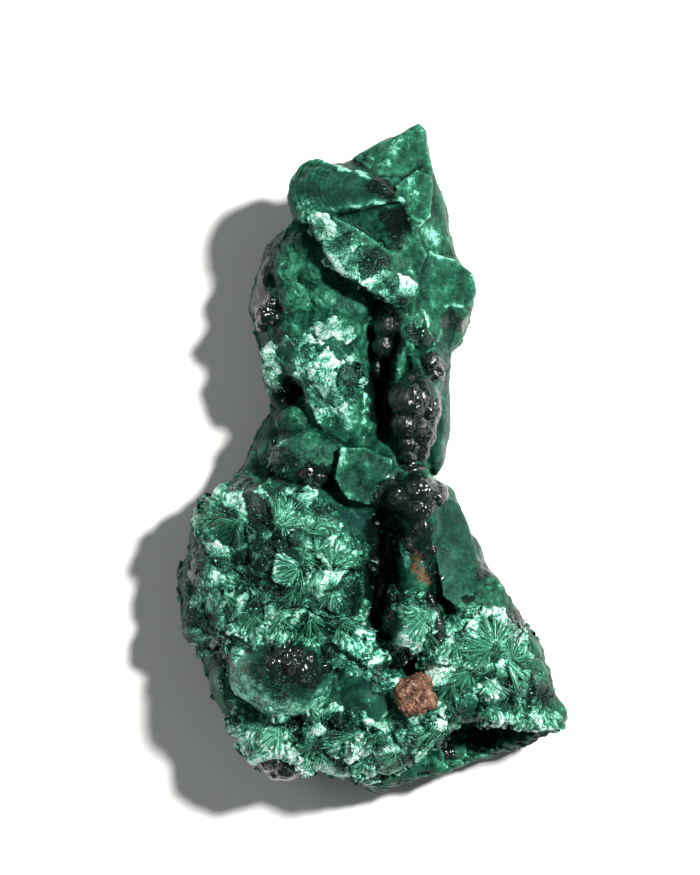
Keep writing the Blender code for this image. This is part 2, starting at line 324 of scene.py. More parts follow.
    def glitter(self, where: bpy.types.NodeSocket, scale: float, tilt: "Value | float",
                under: bpy.types.NodeSocket) -> bpy.types.NodeSocket:
        """Tiny flat facets, each tilted its own way.

        Args:
            where: the position they read.
            scale: facets for each unit of position.
            tilt: how far they lean.
            under: the normal they lean from.

        Returns:
            The normal socket.
        """
        facets = self.cells(where, scale).outputs["Color"]
        lean = self.vectors("SUBTRACT", {0: facets, 1: (0.5, 0.5, 0.5)})
        lean = self.vectors("SCALE", {0: lean, "Scale": tilt})
        return self.vectors("NORMALIZE", {0: self.vectors("ADD", {0: under, 1: lean})})

    def finish(self, **inputs: object) -> bpy.types.Material:
        """Adds the surface shader and the output.

        Args:
            inputs: the shader's sockets, with _ for a space.

        Returns:
            The material.
        """
        named = {key.replace("_", " "): value for key, value in inputs.items()}
        shader = self.node("ShaderNodeBsdfPrincipled", None, named)
        self.node("ShaderNodeOutputMaterial", None, {"Surface": shader.outputs[0]})
        return self.material


# ---------------------------------------------------------------- finishes


@dataclass(frozen=True)
class Palette:
    """The stone's colours."""

    ink: Colour = (0.0022, 0.0072, 0.0056)
    gloom: Colour = (0.0012, 0.0090, 0.0060)
    dusk: Colour = (0.0020, 0.0180, 0.0120)
    deep: Colour = (0.0050, 0.0310, 0.0190)
    leaf: Colour = (0.0135, 0.0880, 0.0520)
    green: Colour = (0.0380, 0.2020, 0.1220)
    bright: Colour = (0.1050, 0.4250, 0.2900)
    # the blue-green given to shaded sides, painted shade
    shade_teal: Colour = (0.0130, 0.0520, 0.0420)
    mint: Colour = (0.2700, 0.6700, 0.5200)
    frost: Colour = (0.6400, 0.8400, 0.7700)
    umber: Colour = (0.0450, 0.0180, 0.0110)
    rust: Colour = (0.1700, 0.0700, 0.0380)
    low_and_under_dark: Colour = (0.0100, 0.0210, 0.0140)


PALETTE = Palette()


# The numbers that the stone's finish reads off its points
STONE_NUMBERS = (
    "silk", "tone", "crevice_shade", "black", "pale", "rust", "band", "low_and_under_dark", "along", "chipped", "edge",
    "shade",
)


@dataclass(frozen=True)
class StoneFinish:
    """The skin of the stone: satin lobes, silky sprays, black coats, rust, and darker low sides.
    """

    name: str
    gloss: float
    sparkle: float
    tint: Colour
    fibre_scale: float = 13.0
    satin_rough: float = 0.38
    silk_rough: float = 0.34
    black_rough: float = 0.24

    def build(self) -> bpy.types.Material:
        """Makes the material.

        Returns:
            The material.
        """
        g = Graph(self.name)
        p = PALETTE
        where = g.place()
        ray = g.direction("ray")
        silk, tone, crevice_shade, black, pale, rust, band, low_and_under_dark, along, chipped, edge, shade = map(
            g.attribute, STONE_NUMBERS)

        streak = g.noise(ray, self.fibre_scale, 3.0, 0.6)
        grain = g.noise(where, 3.4, 4.0, 0.65)
        fine = g.noise(where, 11.0, 2.0, 0.6)
        drift = g.noise(where, 0.32, 3.0, 0.55, 0.6)
        sheen = g.noise(where, 0.75, 2.0, 0.5, 0.8)
        chips = g.cells(where, 3.6)
        glint = g.chance(chips).step(0.80, 0.98)
        wander = g.noise(where, 0.55, 3.0, 0.6, 0.5) - 0.5
        cracks = g.math("ABSOLUTE", wander).step(0.030, 0.0)

        # lightness of the silk: fibre streaks, tone and grain, with painted light (spray rims,
        # sheen patches, glints, sheen mottling) and painted shade (crevices, hollows, shaded
        # parts)
        light = (
            (streak - 0.5) * 2.1 + 0.37 + (tone - 0.5) * 0.75 + (along - 0.5) * 0.45 + edge * 0.12
            + (grain - 0.5) * 0.40 + (sheen - 0.5) * 1.3 + (drift - 0.5) * 0.7 - crevice_shade * 0.45
            + pale * 0.32 + glint * 0.16 - shade * 0.4
        )
        silky = g.ramp(light, [
            (0.00, p.gloom), (0.20, p.deep), (0.40, p.leaf), (0.58, p.green),
            (0.74, p.bright), (0.90, p.mint), (1.0, p.frost),
        ])
        vein = g.math("ABSOLUTE", g.noise(where, 0.20, 2.0, 0.5, 1.0) - 0.5).step(0.012, 0.0)
        rings = g.math("SINE", band * 11.0 + (drift - 0.5) * 5.0)
        # lightness of the satin: grain, streaks, bands, veins and cracks, with lighter edges
        # partly painted highlight, painted sheen patches, and painted shade in hollows and shaded
        # parts
        calm = (
            (drift - 0.5) * 0.55 + 0.29 + (grain - 0.5) * 0.22 + (fine - 0.5) * 0.22 - shade * 0.30
            + edge * (0.60 - chipped * 0.55) + (streak - 0.5) * 0.75
            + pale * (fine * 2.0 + grain * 0.9 - 0.86) + rings * 0.10
            + vein * grain.step(0.40, 0.62) * 0.34 - cracks * chipped * 0.35
            + (sheen - 0.5) * 0.35 + chipped * 0.16
        )
        satin = g.ramp(calm, [
            (0.0, p.dusk), (0.14, p.deep), (0.50, p.leaf), (0.78, p.green), (1.0, p.mint),
        ])
        # painted shade: shaded sides turn blue-green
        satin = g.blend(shade * 0.6, satin, p.shade_teal)
        patchy = (silk + (grain - 0.5) * 0.6).step(0.30, 0.75)
        colour = g.blend(patchy, satin, silky)

        # black coats, and the painted shadow on the left column's side wall
        black_and_wall_shade = (black * 1.1 + (grain - 0.5) * 1.5 + (fine - 0.5) * 0.8).step(0.26, 0.78)
        colour = g.blend(black_and_wall_shade, colour, p.ink)
        iron = (rust + (grain - 0.5) * 1.1 + (fine - 0.5) * 0.5).step(0.40, 0.95)
        colour = g.blend(iron, colour, g.ramp(grain, [(0.35, p.umber), (0.62, p.rust)]))
        # darker low on the sides and on faces that look down
        crust = (low_and_under_dark + (grain - 0.5) * 0.9 + (drift - 0.5) * 0.8).step(0.45, 0.85)
        colour = g.blend(crust * 0.75, colour, p.low_and_under_dark)

        rough = self.satin_rough + (grain - 0.5) * 0.3
        rough = rough - patchy * (self.satin_rough - self.silk_rough)
        rough = rough - glint * patchy * 0.08 - pale * 0.06
        rough = rough * (1.0 - black_and_wall_shade) + black_and_wall_shade * (self.black_rough + (grain - 0.5) * 0.35)
        rough = (rough + crust * 0.3 + iron * 0.35).step(0.0, 1.0, 0.02, 0.98)

        fibres = g.bump(streak * (patchy * 0.75 + 0.25), 0.20, 0.85)
        relief = g.bump(grain, 0.10, 0.5, fibres)
        grit = g.bump(fine, 0.03, 0.5, relief)
        cracked = g.bump(cracks * chipped, 0.20, -1.0, grit)
        normal = g.glitter(where, 5.0, black_and_wall_shade * 0.45 + self.sparkle, cracked)
        return g.finish(
            Base_Color=colour, Roughness=rough, Metallic=patchy * (1.0 - black_and_wall_shade) * 0.15,
            Normal=normal, Specular_IOR_Level=self.gloss, Specular_Tint=self.tint,
            Coat_Weight=black_and_wall_shade * 0.55, Coat_Roughness=0.16,
        )


SKIN_FINISH = StoneFinish("stone_skin", gloss=0.10, sparkle=0.22, tint=(0.50, 0.90, 0.76))
SILK_FINISH = StoneFinish("silk", gloss=0.45, sparkle=0.50, tint=(0.55, 1.0, 0.86))


@dataclass(frozen=True)
class GrainFinish:
    """Tiny crystals, each with a tone of its own."""

    name: str

    def build(self) -> bpy.types.Material:
        """Makes the material.

        Returns:
            The material.
        """
        g = Graph(self.name)
        p = PALETTE
        tone = g.attribute("tone")
        where = g.place()
        fine = g.noise(where, 5.0, 2.0, 0.6)
        light = tone * 0.9 + (fine - 0.5) * 0.5
        colour = g.ramp(light, [
            (0.0, p.deep), (0.3, p.leaf), (0.55, p.green), (0.75, p.bright), (0.92, p.mint),
            (1.0, p.frost),
        ])
        return g.finish(
            Base_Color=colour, Roughness=0.16 + fine * 0.22, Metallic=tone * 0.35,
            Normal=g.bump(fine, 0.05, 0.5),
        )


@dataclass(frozen=True)
class BlackFinish:
    """The glossy black coats, with a fine drusy grain."""

    def build(self) -> bpy.types.Material:
        """Makes the material.

        Returns:
            The material.
        """
        g = Graph("black_coat")
        p = PALETTE
        where = g.place()
        grain = g.noise(where, 3.2, 4.0, 0.65)
        drift = g.noise(where, 0.5, 2.0)
        tint = (drift + (grain - 0.5) * 0.8).step(0.42, 0.8)
        colour = g.blend(tint, p.ink, p.gloom)
        rough = 0.13 + (grain - 0.5) * 0.3
        normal = g.glitter(where, 4.6, 0.75, g.bump(grain, 0.10, 0.6))
        return g.finish(
            Base_Color=colour, Roughness=rough, Normal=normal, Specular_IOR_Level=0.55,
            Coat_Weight=grain * 0.8, Coat_Roughness=0.08,
        )


@dataclass(frozen=True)
class RustFinish:
    """The rough brown grain."""

    def build(self) -> bpy.types.Material:
        """Makes the material.

        Returns:
            The material.
        """
        g = Graph("brown_grain")
        where = g.place()
        coarse = g.noise(where, 0.9, 4.0, 0.65)
        fine = g.noise(where, 3.6, 3.0, 0.6)
        specks = g.chance(g.cells(where, 2.6))
        light = (coarse - 0.5) * 1.4 + 0.5 + (fine - 0.5) * 0.7 + (specks - 0.5) * 0.35
        colour = g.ramp(light, [
            (0.0, (0.018, 0.009, 0.006)), (0.3, (0.070, 0.030, 0.016)),
            (0.55, (0.19, 0.082, 0.045)),
            (0.8, (0.30, 0.17, 0.11)), (1.0, (0.50, 0.40, 0.33)),
        ])
        return g.finish(
            Base_Color=colour, Roughness=0.62 + (fine - 0.5) * 0.3,
            Normal=g.bump(fine, 0.2, 0.8, g.bump(coarse, 0.3)),
        )


@dataclass(frozen=True)
class FloorFinish:
    """A plain pale sheet, with the faintest mottling."""

    colour: Colour = (0.90, 0.90, 0.895)

    def build(self) -> bpy.types.Material:
        """Makes the material.

        Returns:
            The material.
        """
        g = Graph("pale_floor")
        drift = g.noise(g.place(), 0.01, 2.0)
        shade = tuple(part * 0.97 for part in self.colour)
        return g.finish(Base_Color=g.blend(drift, self.colour, shade), Roughness=0.9)


# ---------------------------------------------------------------- what lies where


class Kind(Enum):
    """What covers a part of the stone's skin."""

    SILK = "silk"
    BLACK = "black"
    PALE_AND_SHEEN = "pale"
    RUST = "rust"
    CALM = "calm"
    CHIPPED = "chipped"
    SHADE = "shade"


@dataclass(frozen=True)
class Spot:
    """An oval of one kind, seen from above."""

    kind: Kind
    x: float
    y: float
    rx: float
    ry: float
    turn: float = 0.0
    amount: float = 1.0


@dataclass(frozen=True)
class Dome:
    """A rounded growth: its centre, radii and turn."""

    x: float
    y: float
    z: float
    rx: float
    ry: float
    rz: float
    turn: float = 0.0


@dataclass(frozen=True)
class Plate:
    """An angular growth: the corners of its upper face, and its depth."""

    depth: float
    corners: tuple[tuple[float, float, float], ...]


@dataclass(frozen=True)
class Fan:
    """A spray of fibres: where it starts, its aim and opening in degrees, and its length."""

    x: float
    y: float
    aim: float
    opening: float
    reach: float
    lift: float = 14.0
    tone: float = 0.55
    rise: float = 0.3


PLATES = [
    # tip
    Plate(8.0, (
        (-2.4, 33.9, 13.0), (1.4, 35.7, 13.2), (3.6, 37.0, 13.4), (5.0, 37.7, 13.2),
        (5.8, 36.9, 12.8), (6.3, 33.6, 14.0), (6.5, 32.0, 15.0), (0.5, 31.9, 16.2),
    )),
    # banded ear
    Plate(3.4, (
        (-9.5, 29.4, 15.2), (-9.2, 31.5, 15.0), (-8.0, 33.0, 14.8), (-6.4, 33.7, 15.0),
        (-3.0, 32.5, 16.8), (0.4, 31.2, 17.8), (3.4, 28.9, 18.6), (-1.3, 28.3, 19.0),
        (-5.2, 27.8, 18.8), (-7.8, 26.5, 17.6), (-8.9, 27.1, 16.4),
    )),
    # crown plate, one step lower
    Plate(4.0, (
        (-5.0, 27.5, 17.2), (3.5, 28.4, 17.9), (4.4, 26.4, 17.0), (3.8, 23.8, 15.8),
        (0.5, 24.6, 16.4), (-1.7, 25.9, 16.8),
    )),
    # right flank facets
    Plate(7.0, (
        (5.3, 32.7, 15.6), (6.5, 32.6, 14.2), (7.6, 29.8, 12.2), (9.0, 22.8, 11.0),
        (4.6, 24.2, 15.8), (4.1, 27.3, 17.2),
    )),
    # silver facet, and the step below it
    Plate(5.0, (
        (2.4, 30.4, 17.6), (4.8, 32.4, 16.2), (6.4, 31.6, 15.2), (6.3, 27.2, 16.4),
        (4.2, 25.4, 17.0), (3.2, 28.4, 18.3),
    )),
    Plate(4.0, (
        (0.8, 25.0, 16.5), (4.8, 25.6, 16.6), (5.8, 23.0, 15.6), (4.9, 20.4, 15.6),
        (2.4, 21.8, 16.6),
    )),
    # side lobe
    Plate(6.0, (
        (4.4, 23.8, 15.4), (9.1, 22.6, 12.6), (11.0, 21.1, 11.6), (11.5, 19.3, 11.2),
        (10.8, 17.5, 11.6), (6.6, 17.3, 14.2), (5.2, 19.6, 15.2),
    )),
    # sparkling ridge with an overhanging rim
    Plate(2.6, (
        (-6.8, 26.4, 17.6), (-5.3, 23.5, 17.0), (-3.6, 20.9, 17.2), (-1.1, 19.4, 17.4),
        (1.6, 23.4, 17.2), (-1.1, 25.4, 17.8), (-4.5, 27.2, 18.2),
    )),
    Plate(2.6, (
        (-2.4, 20.6, 17.2), (-1.1, 19.3, 17.2), (1.8, 18.4, 17.0), (3.4, 16.8, 15.8),
        (4.9, 19.4, 15.8), (4.2, 22.4, 16.4), (1.4, 23.6, 17.0),
    )),
    # middle plate
    Plate(4.0, (
        (-8.9, 12.5, 14.4), (-6.0, 13.1, 15.4), (-3.7, 12.8, 16.0), (-1.4, 10.9, 16.4),
        (-0.8, 7.2, 16.0), (-1.1, 3.8, 15.0), (-3.2, 2.4, 14.6), (-5.6, 3.6, 14.2),
        (-7.3, 6.8, 14.4), (-8.3, 10.0, 14.4),
    )),
    Plate(4.0, (
        (-12.6, 12.5, 11.6), (-9.5, 13.0, 13.2), (-9.6, 10.7, 13.0), (-10.3, 8.0, 12.0),
        (-12.0, 9.0, 10.8),
    )),
    # round waist plate
    Plate(4.6, (
        (-3.6, 1.8, 16.4), (-0.9, 1.8, 16.0), (2.0, 0.5, 15.0), (1.7, -2.0, 14.8),
        (0.2, -4.7, 15.0), (-2.8, -4.0, 15.8), (-4.3, -1.6, 16.4),
    )),
    # smooth right shoulder
    Plate(5.0, (
        (7.2, -2.9, 14.0), (9.6, -4.5, 12.0), (9.9, -7.2, 12.0), (12.3, -11.8, 11.6),
        (13.2, -15.4, 12.8), (10.2, -16.6, 15.0), (7.6, -14.6, 15.8), (6.6, -9.1, 15.4),
    )),
    # right wing
    Plate(4.0, (
        (13.4, -22.6, 14.6), (17.2, -23.6, 13.0), (19.4, -26.2, 12.2), (21.6, -29.6, 10.8),
        (16.4, -29.2, 13.6), (12.4, -27.6, 15.2),
    )),
    # foot plate
    Plate(4.0, (
        (-1.4, -30.6, 14.8), (3.6, -29.8, 15.4), (8.0, -28.2, 15.6), (6.6, -31.4, 13.4),
        (1.6, -34.4, 12.2), (-2.6, -33.4, 12.8),
    )),
]

DOMES = [
    # between the crown plates
    Dome(3.1, 28.6, 15.8, 1.3, 1.1, 2.2), Dome(1.5, 24.9, 14.4, 1.5, 1.2, 2.0),
    # left column
    Dome(-7.4, 24.0, 11.2, 2.5, 2.3, 3.8), Dome(-9.2, 21.4, 10.6, 2.4, 2.6, 3.6),
    Dome(-6.4, 21.0, 11.8, 2.3, 2.6, 3.4), Dome(-8.4, 18.2, 11.4, 2.4, 2.3, 3.4),
    Dome(-5.2, 18.0, 12.0, 2.4, 2.2, 3.2), Dome(-2.4, 17.8, 11.2, 3.0, 2.6, 3.2),
    Dome(-11.4, 17.0, 9.0, 2.0, 2.4, 3.6), Dome(-4.3, 15.0, 12.6, 3.2, 2.1, 3.4, -8),
    Dome(-8.6, 15.0, 11.8, 2.2, 1.8, 3.0),
    # its dark side wall
    Dome(-11.2, 21.6, 6.6, 1.7, 4.6, 5.0, -18), Dome(-12.2, 18.4, 5.6, 1.6, 3.4, 4.4, -10),
    # waist
    Dome(-8.7, 4.7, 10.6, 2.2, 1.9, 3.0), Dome(-7.0, 0.6, 11.8, 4.4, 3.4, 4.2, 8),
    Dome(-11.8, 1.0, 6.0, 1.9, 3.8, 4.2, -20),
    # blades between the black knobs
    Dome(2.9, 11.4, 12.4, 1.1, 3.8, 3.9, -12), Dome(5.2, 14.6, 12.4, 1.7, 2.6, 3.6, -10),
    Dome(7.3, 7.0, 9.4, 1.3, 5.6, 4.2, 2), Dome(6.9, 2.0, 8.8, 1.3, 3.4, 4.4, -4),
    # lower right column
    Dome(5.0, -12.6, 12.6, 2.6, 3.6, 3.4, 4), Dome(3.6, -10.6, 12.8, 1.2, 3.0, 3.0, 8),
    Dome(4.4, -17.2, 11.4, 3.8, 4.0, 4.2),
    # left field
    Dome(-8.0, -8.5, 11.4, 8.2, 7.0, 4.8, -20), Dome(-13.8, -9.0, 8.8, 6.6, 7.6, 4.8, -10),
    Dome(-6.6, -14.0, 11.6, 6.6, 6.0, 4.6), Dome(-11.6, -16.6, 10.2, 7.0, 4.4, 4.8, -4),
    Dome(-16.4, -7.8, 9.2, 3.6, 3.4, 4.2, -20), Dome(-19.6, -13.2, 6.4, 2.4, 2.8, 4.4),
    Dome(-16.4, -13.6, 8.6, 3.8, 4.6, 4.4), Dome(-10.4, -5.6, 12.0, 3.6, 2.6, 4.4, -30),
    # big botryoid
    Dome(-10.2, -23.2, 13.9, 6.1, 4.8, 5.9, -18),
    # foot
    Dome(-3.0, -20.6, 12.8, 4.0, 3.0, 4.0, -20), Dome(-0.8, -26.2, 13.0, 3.6, 3.0, 3.8),
    Dome(-15.6, -25.2, 9.4, 2.4, 3.6, 4.0, 25), Dome(-11.2, -30.4, 10.6, 3.4, 2.6, 3.6, 20),
    Dome(-5.6, -29.6, 11.8, 3.2, 2.6, 3.4), Dome(11.0, -21.2, 10.8, 6.2, 5.2, 5.0, -30),
    Dome(9.2, -26.0, 11.6, 4.8, 3.0, 4.2),
    Dome(17.0, -20.6, 7.6, 1.6, 3.6, 4.0, 30),
]

# Ovals by kind, from the tip to the foot: x, y, the two radii, then the turn in degrees and the
# amount where they aren't 0 and 1. Chance is drawn over the silk ones in the order they have here.
SPOTS = [
    Spot(kind, *oval) for kind, ovals in {
        Kind.CALM: [
            (3.0, 34.6, 4.4, 2.6, 28), (-4.0, 30.2, 5.6, 3.2, -8), (6.6, 27.6, 1.9, 5.2, 12),
            (-0.6, 26.6, 4.2, 1.7, 4), (8.2, 20.2, 3.8, 3.0, -20), (-2.2, 18.2, 2.6, 2.2),
            (2.8, 10.6, 1.1, 3.0, -12), (7.6, 5.0, 1.2, 7.0), (-2.6, 4.4, 2.0, 2.4),
            (-1.0, -1.4, 3.0, 2.8), (9.4, -9.6, 3.4, 6.8, -18), (4.0, -13.6, 1.6, 2.0),
            (-10.0, -22.6, 5.0, 3.8, -18, 1.2), (16.8, -25.6, 2.6, 2.0, -35),
            (-0.8, -26.4, 3.0, 1.6),
        ],
        Kind.BLACK: [
            (0.9, 30.2, 1.9, 1.4, -20, 0.8), (2.4, 26.6, 1.9, 2.0, 0, 0.8),
            # the spot at -13.0, 20.0 darkens the left column's shaded side wall, a painted shadow
            (3.0, 24.6, 0.9, 1.3, 10, 0.6), (-13.0, 20.0, 1.3, 5.0, -16, 0.6),
            (-11.8, 16.8, 1.7, 1.9, 0, 0.9), (9.2, 15.6, 1.9, 1.3, -20, 0.62),
            (1.6, 13.6, 1.7, 4.0, -8, 0.95), (6.6, 10.8, 1.4, 1.8), (-9.4, 7.8, 1.5, 1.8),
            (0.8, 7.4, 1.5, 4.6), (4.4, 6.0, 2.6, 4.6), (-6.6, -1.2, 2.2, 1.5, 8),
            (-14.5, -2.4, 1.7, 1.0, 20, 0.7), (-1.2, -2.6, 1.0, 0.8, 0, 0.45),
            (4.4, -3.6, 3.4, 2.8), (1.0, -3.8, 1.4, 2.2, 0, 0.9), (-12.6, -5.0, 0.7, 0.5, 0, 0.7),
            (4.8, -8.2, 2.2, 3.0, 0, 0.75), (-10.2, -9.4, 0.8, 0.6, 0, 0.75),
            (13.2, -10.6, 1.2, 4.0, -38, 0.7), (-19.8, -12.0, 0.9, 1.8, 0, 0.7),
            (6.6, -12.4, 0.9, 2.6, 6, 0.7), (1.0, -12.6, 2.2, 8.4, 3),
            (10.5, -15.1, 0.9, 0.5, -20), (16.2, -16.6, 1.0, 4.0, -28, 0.6),
            (-16.2, -20.6, 0.8, 2.6, 28, 0.8), (2.6, -21.2, 1.8, 2.0),
            (-8.8, -22.2, 4.2, 2.5, -20, 0.80), (-10.2, -23.4, 4.7, 3.2, -20, 0.55),
            (15.6, -24.6, 0.9, 1.6, 20, 0.55), (-10.8, -33.8, 2.2, 1.5, -10),
        ],
        # pale lines and rims of the stone, and painted sheen and highlight patches
        Kind.PALE_AND_SHEEN: [
            (2.6, 35.0, 0.5, 1.6, -20, 0.6), (3.8, 34.2, 2.6, 2.0, 20, 0.25),
            (0.6, 33.2, 1.6, 0.4, -30, 0.5), (-2.6, 32.3, 3.0, 0.28, -17),
            (4.4, 29.4, 0.8, 2.0, -10, 0.6), (-0.8, 28.3, 4.6, 0.22, 4, 0.8),
            (-7.2, 28.2, 1.3, 1.6, 20, 0.45), (5.9, 25.9, 2.0, 1.0, -35, 0.6),
            (-1.6, 24.6, 1.0, 0.5, 0, 0.4), (7.6, 23.2, 2.4, 0.4, -22, 0.5),
            (-4.4, 22.6, 1.0, 1.9, 30, 0.2), (-2.2, 20.4, 1.9, 0.6, -38, 0.3),
            (1.4, 18.6, 1.8, 0.5, -30, 0.3), (-5.4, 17.6, 2.6, 1.6, 0, 0.3),
            (8.7, 17.3, 2.2, 0.3, 2, 0.7), (-4.3, 14.7, 2.0, 0.9, -6, 0.25),
            (-8.6, 13.2, 3.6, 0.3, 4, 0.6), (6.7, 13.2, 0.22, 2.0, -20, 0.8),
            (-12.0, 12.4, 1.4, 0.35, 4, 0.9), (-2.4, 11.4, 0.9, 0.6, -30, 0.9),
            (-11.3, 8.8, 0.9, 1.3, 0, 0.9), (7.3, 8.6, 0.22, 3.2, -6, 0.9),
            (-2.8, 8.4, 1.2, 0.5, -30, 0.8), (-4.6, 7.6, 2.4, 1.6, 20, 0.35),
            (-3.6, 6.6, 1.3, 0.4, 35), (-1.0, 6.6, 0.25, 3.0, 3, 0.9),
            (-4.0, 6.2, 2.6, 3.0, 0, 0.35), (-6.4, 6.2, 0.7, 1.5, 20, 0.5),
            (8.0, 2.4, 0.22, 3.4, 4, 0.8), (-3.4, 0.9, 0.5, 1.3, -20, 0.9),
            (6.0, -0.4, 0.2, 1.6, 30, 0.7), (-2.4, -4.0, 0.5, 1.2, 40, 0.4),
            (-9.0, -5.2, 1.5, 1.0, -40, 0.5), (-17.6, -8.0, 1.4, 0.6, 50, 0.25),
            (-15.2, -8.6, 1.6, 0.8, 40, 0.7), (-14.4, -9.0, 2.2, 0.5, 30, 0.6),
            (-6.4, -9.1, 0.8, 0.6, 0, 0.7), (-4.5, -10.4, 1.0, 1.2, 20, 0.6),
            (-18.2, -12.0, 0.5, 1.8, -10, 0.3), (-8.6, -12.8, 1.5, 0.5, 10, 0.6),
            (-13.4, -14.8, 1.3, 0.5, -20, 0.7), (-16.4, -15.0, 1.2, 1.1, 0, 0.9),
            (-5.0, -15.4, 1.6, 0.9, 0, 0.8), (-15.0, -17.8, 0.6, 1.2, 10, 0.6),
            (-9.4, -18.0, 2.2, 0.4, 5, 0.6), (8.3, -18.6, 0.35, 2.6, 8, 0.9),
            (-8.0, -19.6, 3.0, 0.5, -14, 0.5), (-16.4, -20.0, 0.9, 1.5, 10, 0.8),
            (-14.4, -23.4, 1.9, 3.2, 18, 0.8), (-5.2, -23.6, 0.8, 1.6, -10, 0.5),
            (-13.0, -25.2, 3.2, 2.1, -42, 0.9), (-7.0, -25.8, 2.6, 1.4, 20, 0.7),
            (-10.4, -26.4, 3.4, 1.7, -10, 0.9), (7.8, -26.6, 1.3, 0.9, 0, 0.6),
            (-6.6, -27.8, 1.6, 0.6, -60), (1.4, -28.4, 1.4, 0.7, 40, 0.9),
            (5.0, -28.4, 1.2, 0.6, 20, 0.8), (19.0, -29.2, 2.4, 0.3, -14, 0.3),
            (7.4, -29.6, 1.6, 0.6, 50, 0.9), (-11.2, -30.6, 2.6, 1.3, -30, 0.9),
            (3.2, -30.8, 1.3, 0.8, 30, 0.9), (5.6, -31.0, 2.4, 0.6, 40, 0.8),
            (-1.4, -31.2, 1.2, 0.8, 0, 0.8), (-3.4, -31.4, 1.5, 0.9, 20, 0.8),
            (-4.8, -33.2, 1.6, 0.6, 0, 0.8), (-0.6, -33.2, 1.4, 0.5, -10, 0.7),
            (3.6, -33.6, 3.0, 0.6, 22, 0.9),
        ],
        Kind.SILK: [
            (-5.4, 25.8, 1.7, 1.5, -40), (-3.4, 23.2, 2.2, 2.2, -40), (-0.6, 21.6, 3.0, 2.2, -35),
            (2.4, 19.2, 2.4, 2.0, -40), (-4.3, 14.8, 2.6, 1.3, -6), (-6.4, 10.6, 2.8, 2.4),
            (-11.4, 10.6, 1.3, 2.6), (-4.6, 8.3, 2.9, 3.7, 10, 0.9),
            (-2.6, 10.0, 1.5, 1.9, 0, 0.8), (-8.6, 13.4, 3.4, 0.7, 4, 0.6),
            (-10.2, 0.8, 2.0, 2.8, 0, 0.6), (5.0, 14.6, 1.5, 2.4, -8, 0.9),
            (3.8, -17.6, 2.9, 3.6, 0, 0.9), (12.6, -19.4, 5.0, 3.6, -20), (8.6, -22.6, 3.4, 3.6),
            (12.8, -24.2, 3.0, 2.6, 0, 0.9), (18.4, -27.8, 3.0, 1.7, -38, 0.7),
            (16.4, -28.4, 3.6, 0.9, -12, 0.8), (17.0, -25.2, 3.2, 2.4, -40, 0.75),
            (13.0, -28.0, 1.6, 1.2, 0, 0.8), (-8.8, -7.4, 5.4, 5.0), (-15.2, -6.8, 4.8, 5.2),
            (-7.4, -12.0, 7.6, 6.0), (-9.6, -16.6, 9.4, 3.8), (-16.8, -17.4, 4.4, 4.6),
            (-16.6, -12.4, 4.2, 4.4), (-18.0, -22.4, 1.6, 3.2, 20, 0.9),
            (-13.8, -29.2, 3.0, 1.8, -30, 0.9), (-1.6, -21.0, 4.8, 2.8, -20),
            (1.6, -24.4, 2.0, 1.6, 0, 0.8), (-10.8, -30.6, 4.2, 3.0, 10),
            (-4.2, -30.8, 6.0, 4.4, 0, 0.95), (1.0, -32.6, 4.6, 2.6, 10, 0.9),
            (4.4, -29.8, 5.4, 2.2, 20, 0.9), (7.2, -27.6, 3.0, 2.6, 20, 0.9),
        ],
        Kind.SHADE: [
            (-4.0, 29.8, 4.6, 2.4, -8, 0.55), (-2.8, 24.6, 1.6, 1.0, -35, 0.8),
            (-0.2, 22.6, 1.9, 1.3, -35), (-12.4, 21.4, 1.6, 5.4, -18),
            (-12.8, 20.0, 1.6, 8.0, -8, 0.9), (2.8, 19.2, 1.8, 1.3, -20, 0.5),
            (-2.2, 18.4, 2.4, 1.8, 0, 0.6), (-5.0, 11.2, 2.2, 1.4, 0, 0.35),
            (8.0, 6.0, 1.8, 8.0, 0, 0.8), (-15.4, 2.0, 3.0, 8.0, -30, 0.8),
            (-9.8, 0.6, 2.4, 3.2, 0, 0.7), (-0.6, -1.8, 2.2, 1.9, 0, 0.5),
            (-12.2, -5.0, 1.4, 2.2, -40, 0.8), (-17.4, -5.4, 1.6, 1.8, 0, 0.5),
            (-7.4, -5.6, 1.6, 1.6, 0, 0.7), (-4.2, -5.9, 1.5, 1.4, 0, 0.7),
            (-1.6, -8.0, 1.2, 5.0, 4, 0.9), (-6.0, -8.2, 0.9, 1.4, 0, 0.6),
            (9.4, -8.4, 3.4, 6.6, -18, 0.55), (-11.6, -9.2, 1.5, 1.1, 20, 0.9),
            (-18.8, -9.6, 1.4, 2.6, -10, 0.5), (-14.2, -11.2, 1.3, 1.3, 0, 0.8),
            (-20.6, -12.4, 2.6, 4.6, 10), (-9.2, -13.0, 1.6, 0.9, 30, 0.8),
            (-10.6, -15.2, 2.6, 0.8, 0, 0.6), (-1.8, -15.6, 1.3, 3.4, -10, 0.7),
            (-20.0, -18.0, 1.6, 3.4, 20, 0.8), (-2.6, -20.6, 2.6, 1.6, -25, 0.5),
            (-9.2, -22.4, 5.0, 3.2, -18), (1.2, -22.8, 1.7, 1.3), (0.4, -24.6, 1.7, 1.1),
            (17.0, -26.0, 3.4, 2.6, -35, 0.6), (-0.8, -26.4, 3.2, 1.5, -8, 0.6),
            (8.6, -26.4, 1.6, 1.4, 0, 0.6), (-2.2, -26.4, 2.4, 1.6, 0, 0.5),
            (-6.4, -28.2, 1.2, 1.0, 0, 0.7), (-0.4, -28.4, 1.6, 0.9, -30, 0.6),
            (11.6, -28.4, 2.0, 1.6, 0, 0.5), (19.6, -28.4, 2.4, 1.2, -20, 0.5),
            (-3.6, -28.6, 1.6, 1.4, 0, 0.8), (-8.4, -29.4, 1.5, 1.8, 0, 0.8),
            (-12.6, -29.8, 3.2, 2.4, -20, 0.45), (-5.8, -30.6, 1.4, 1.2, 0, 0.7),
            (0.4, -30.6, 1.2, 1.0, 0, 0.6),
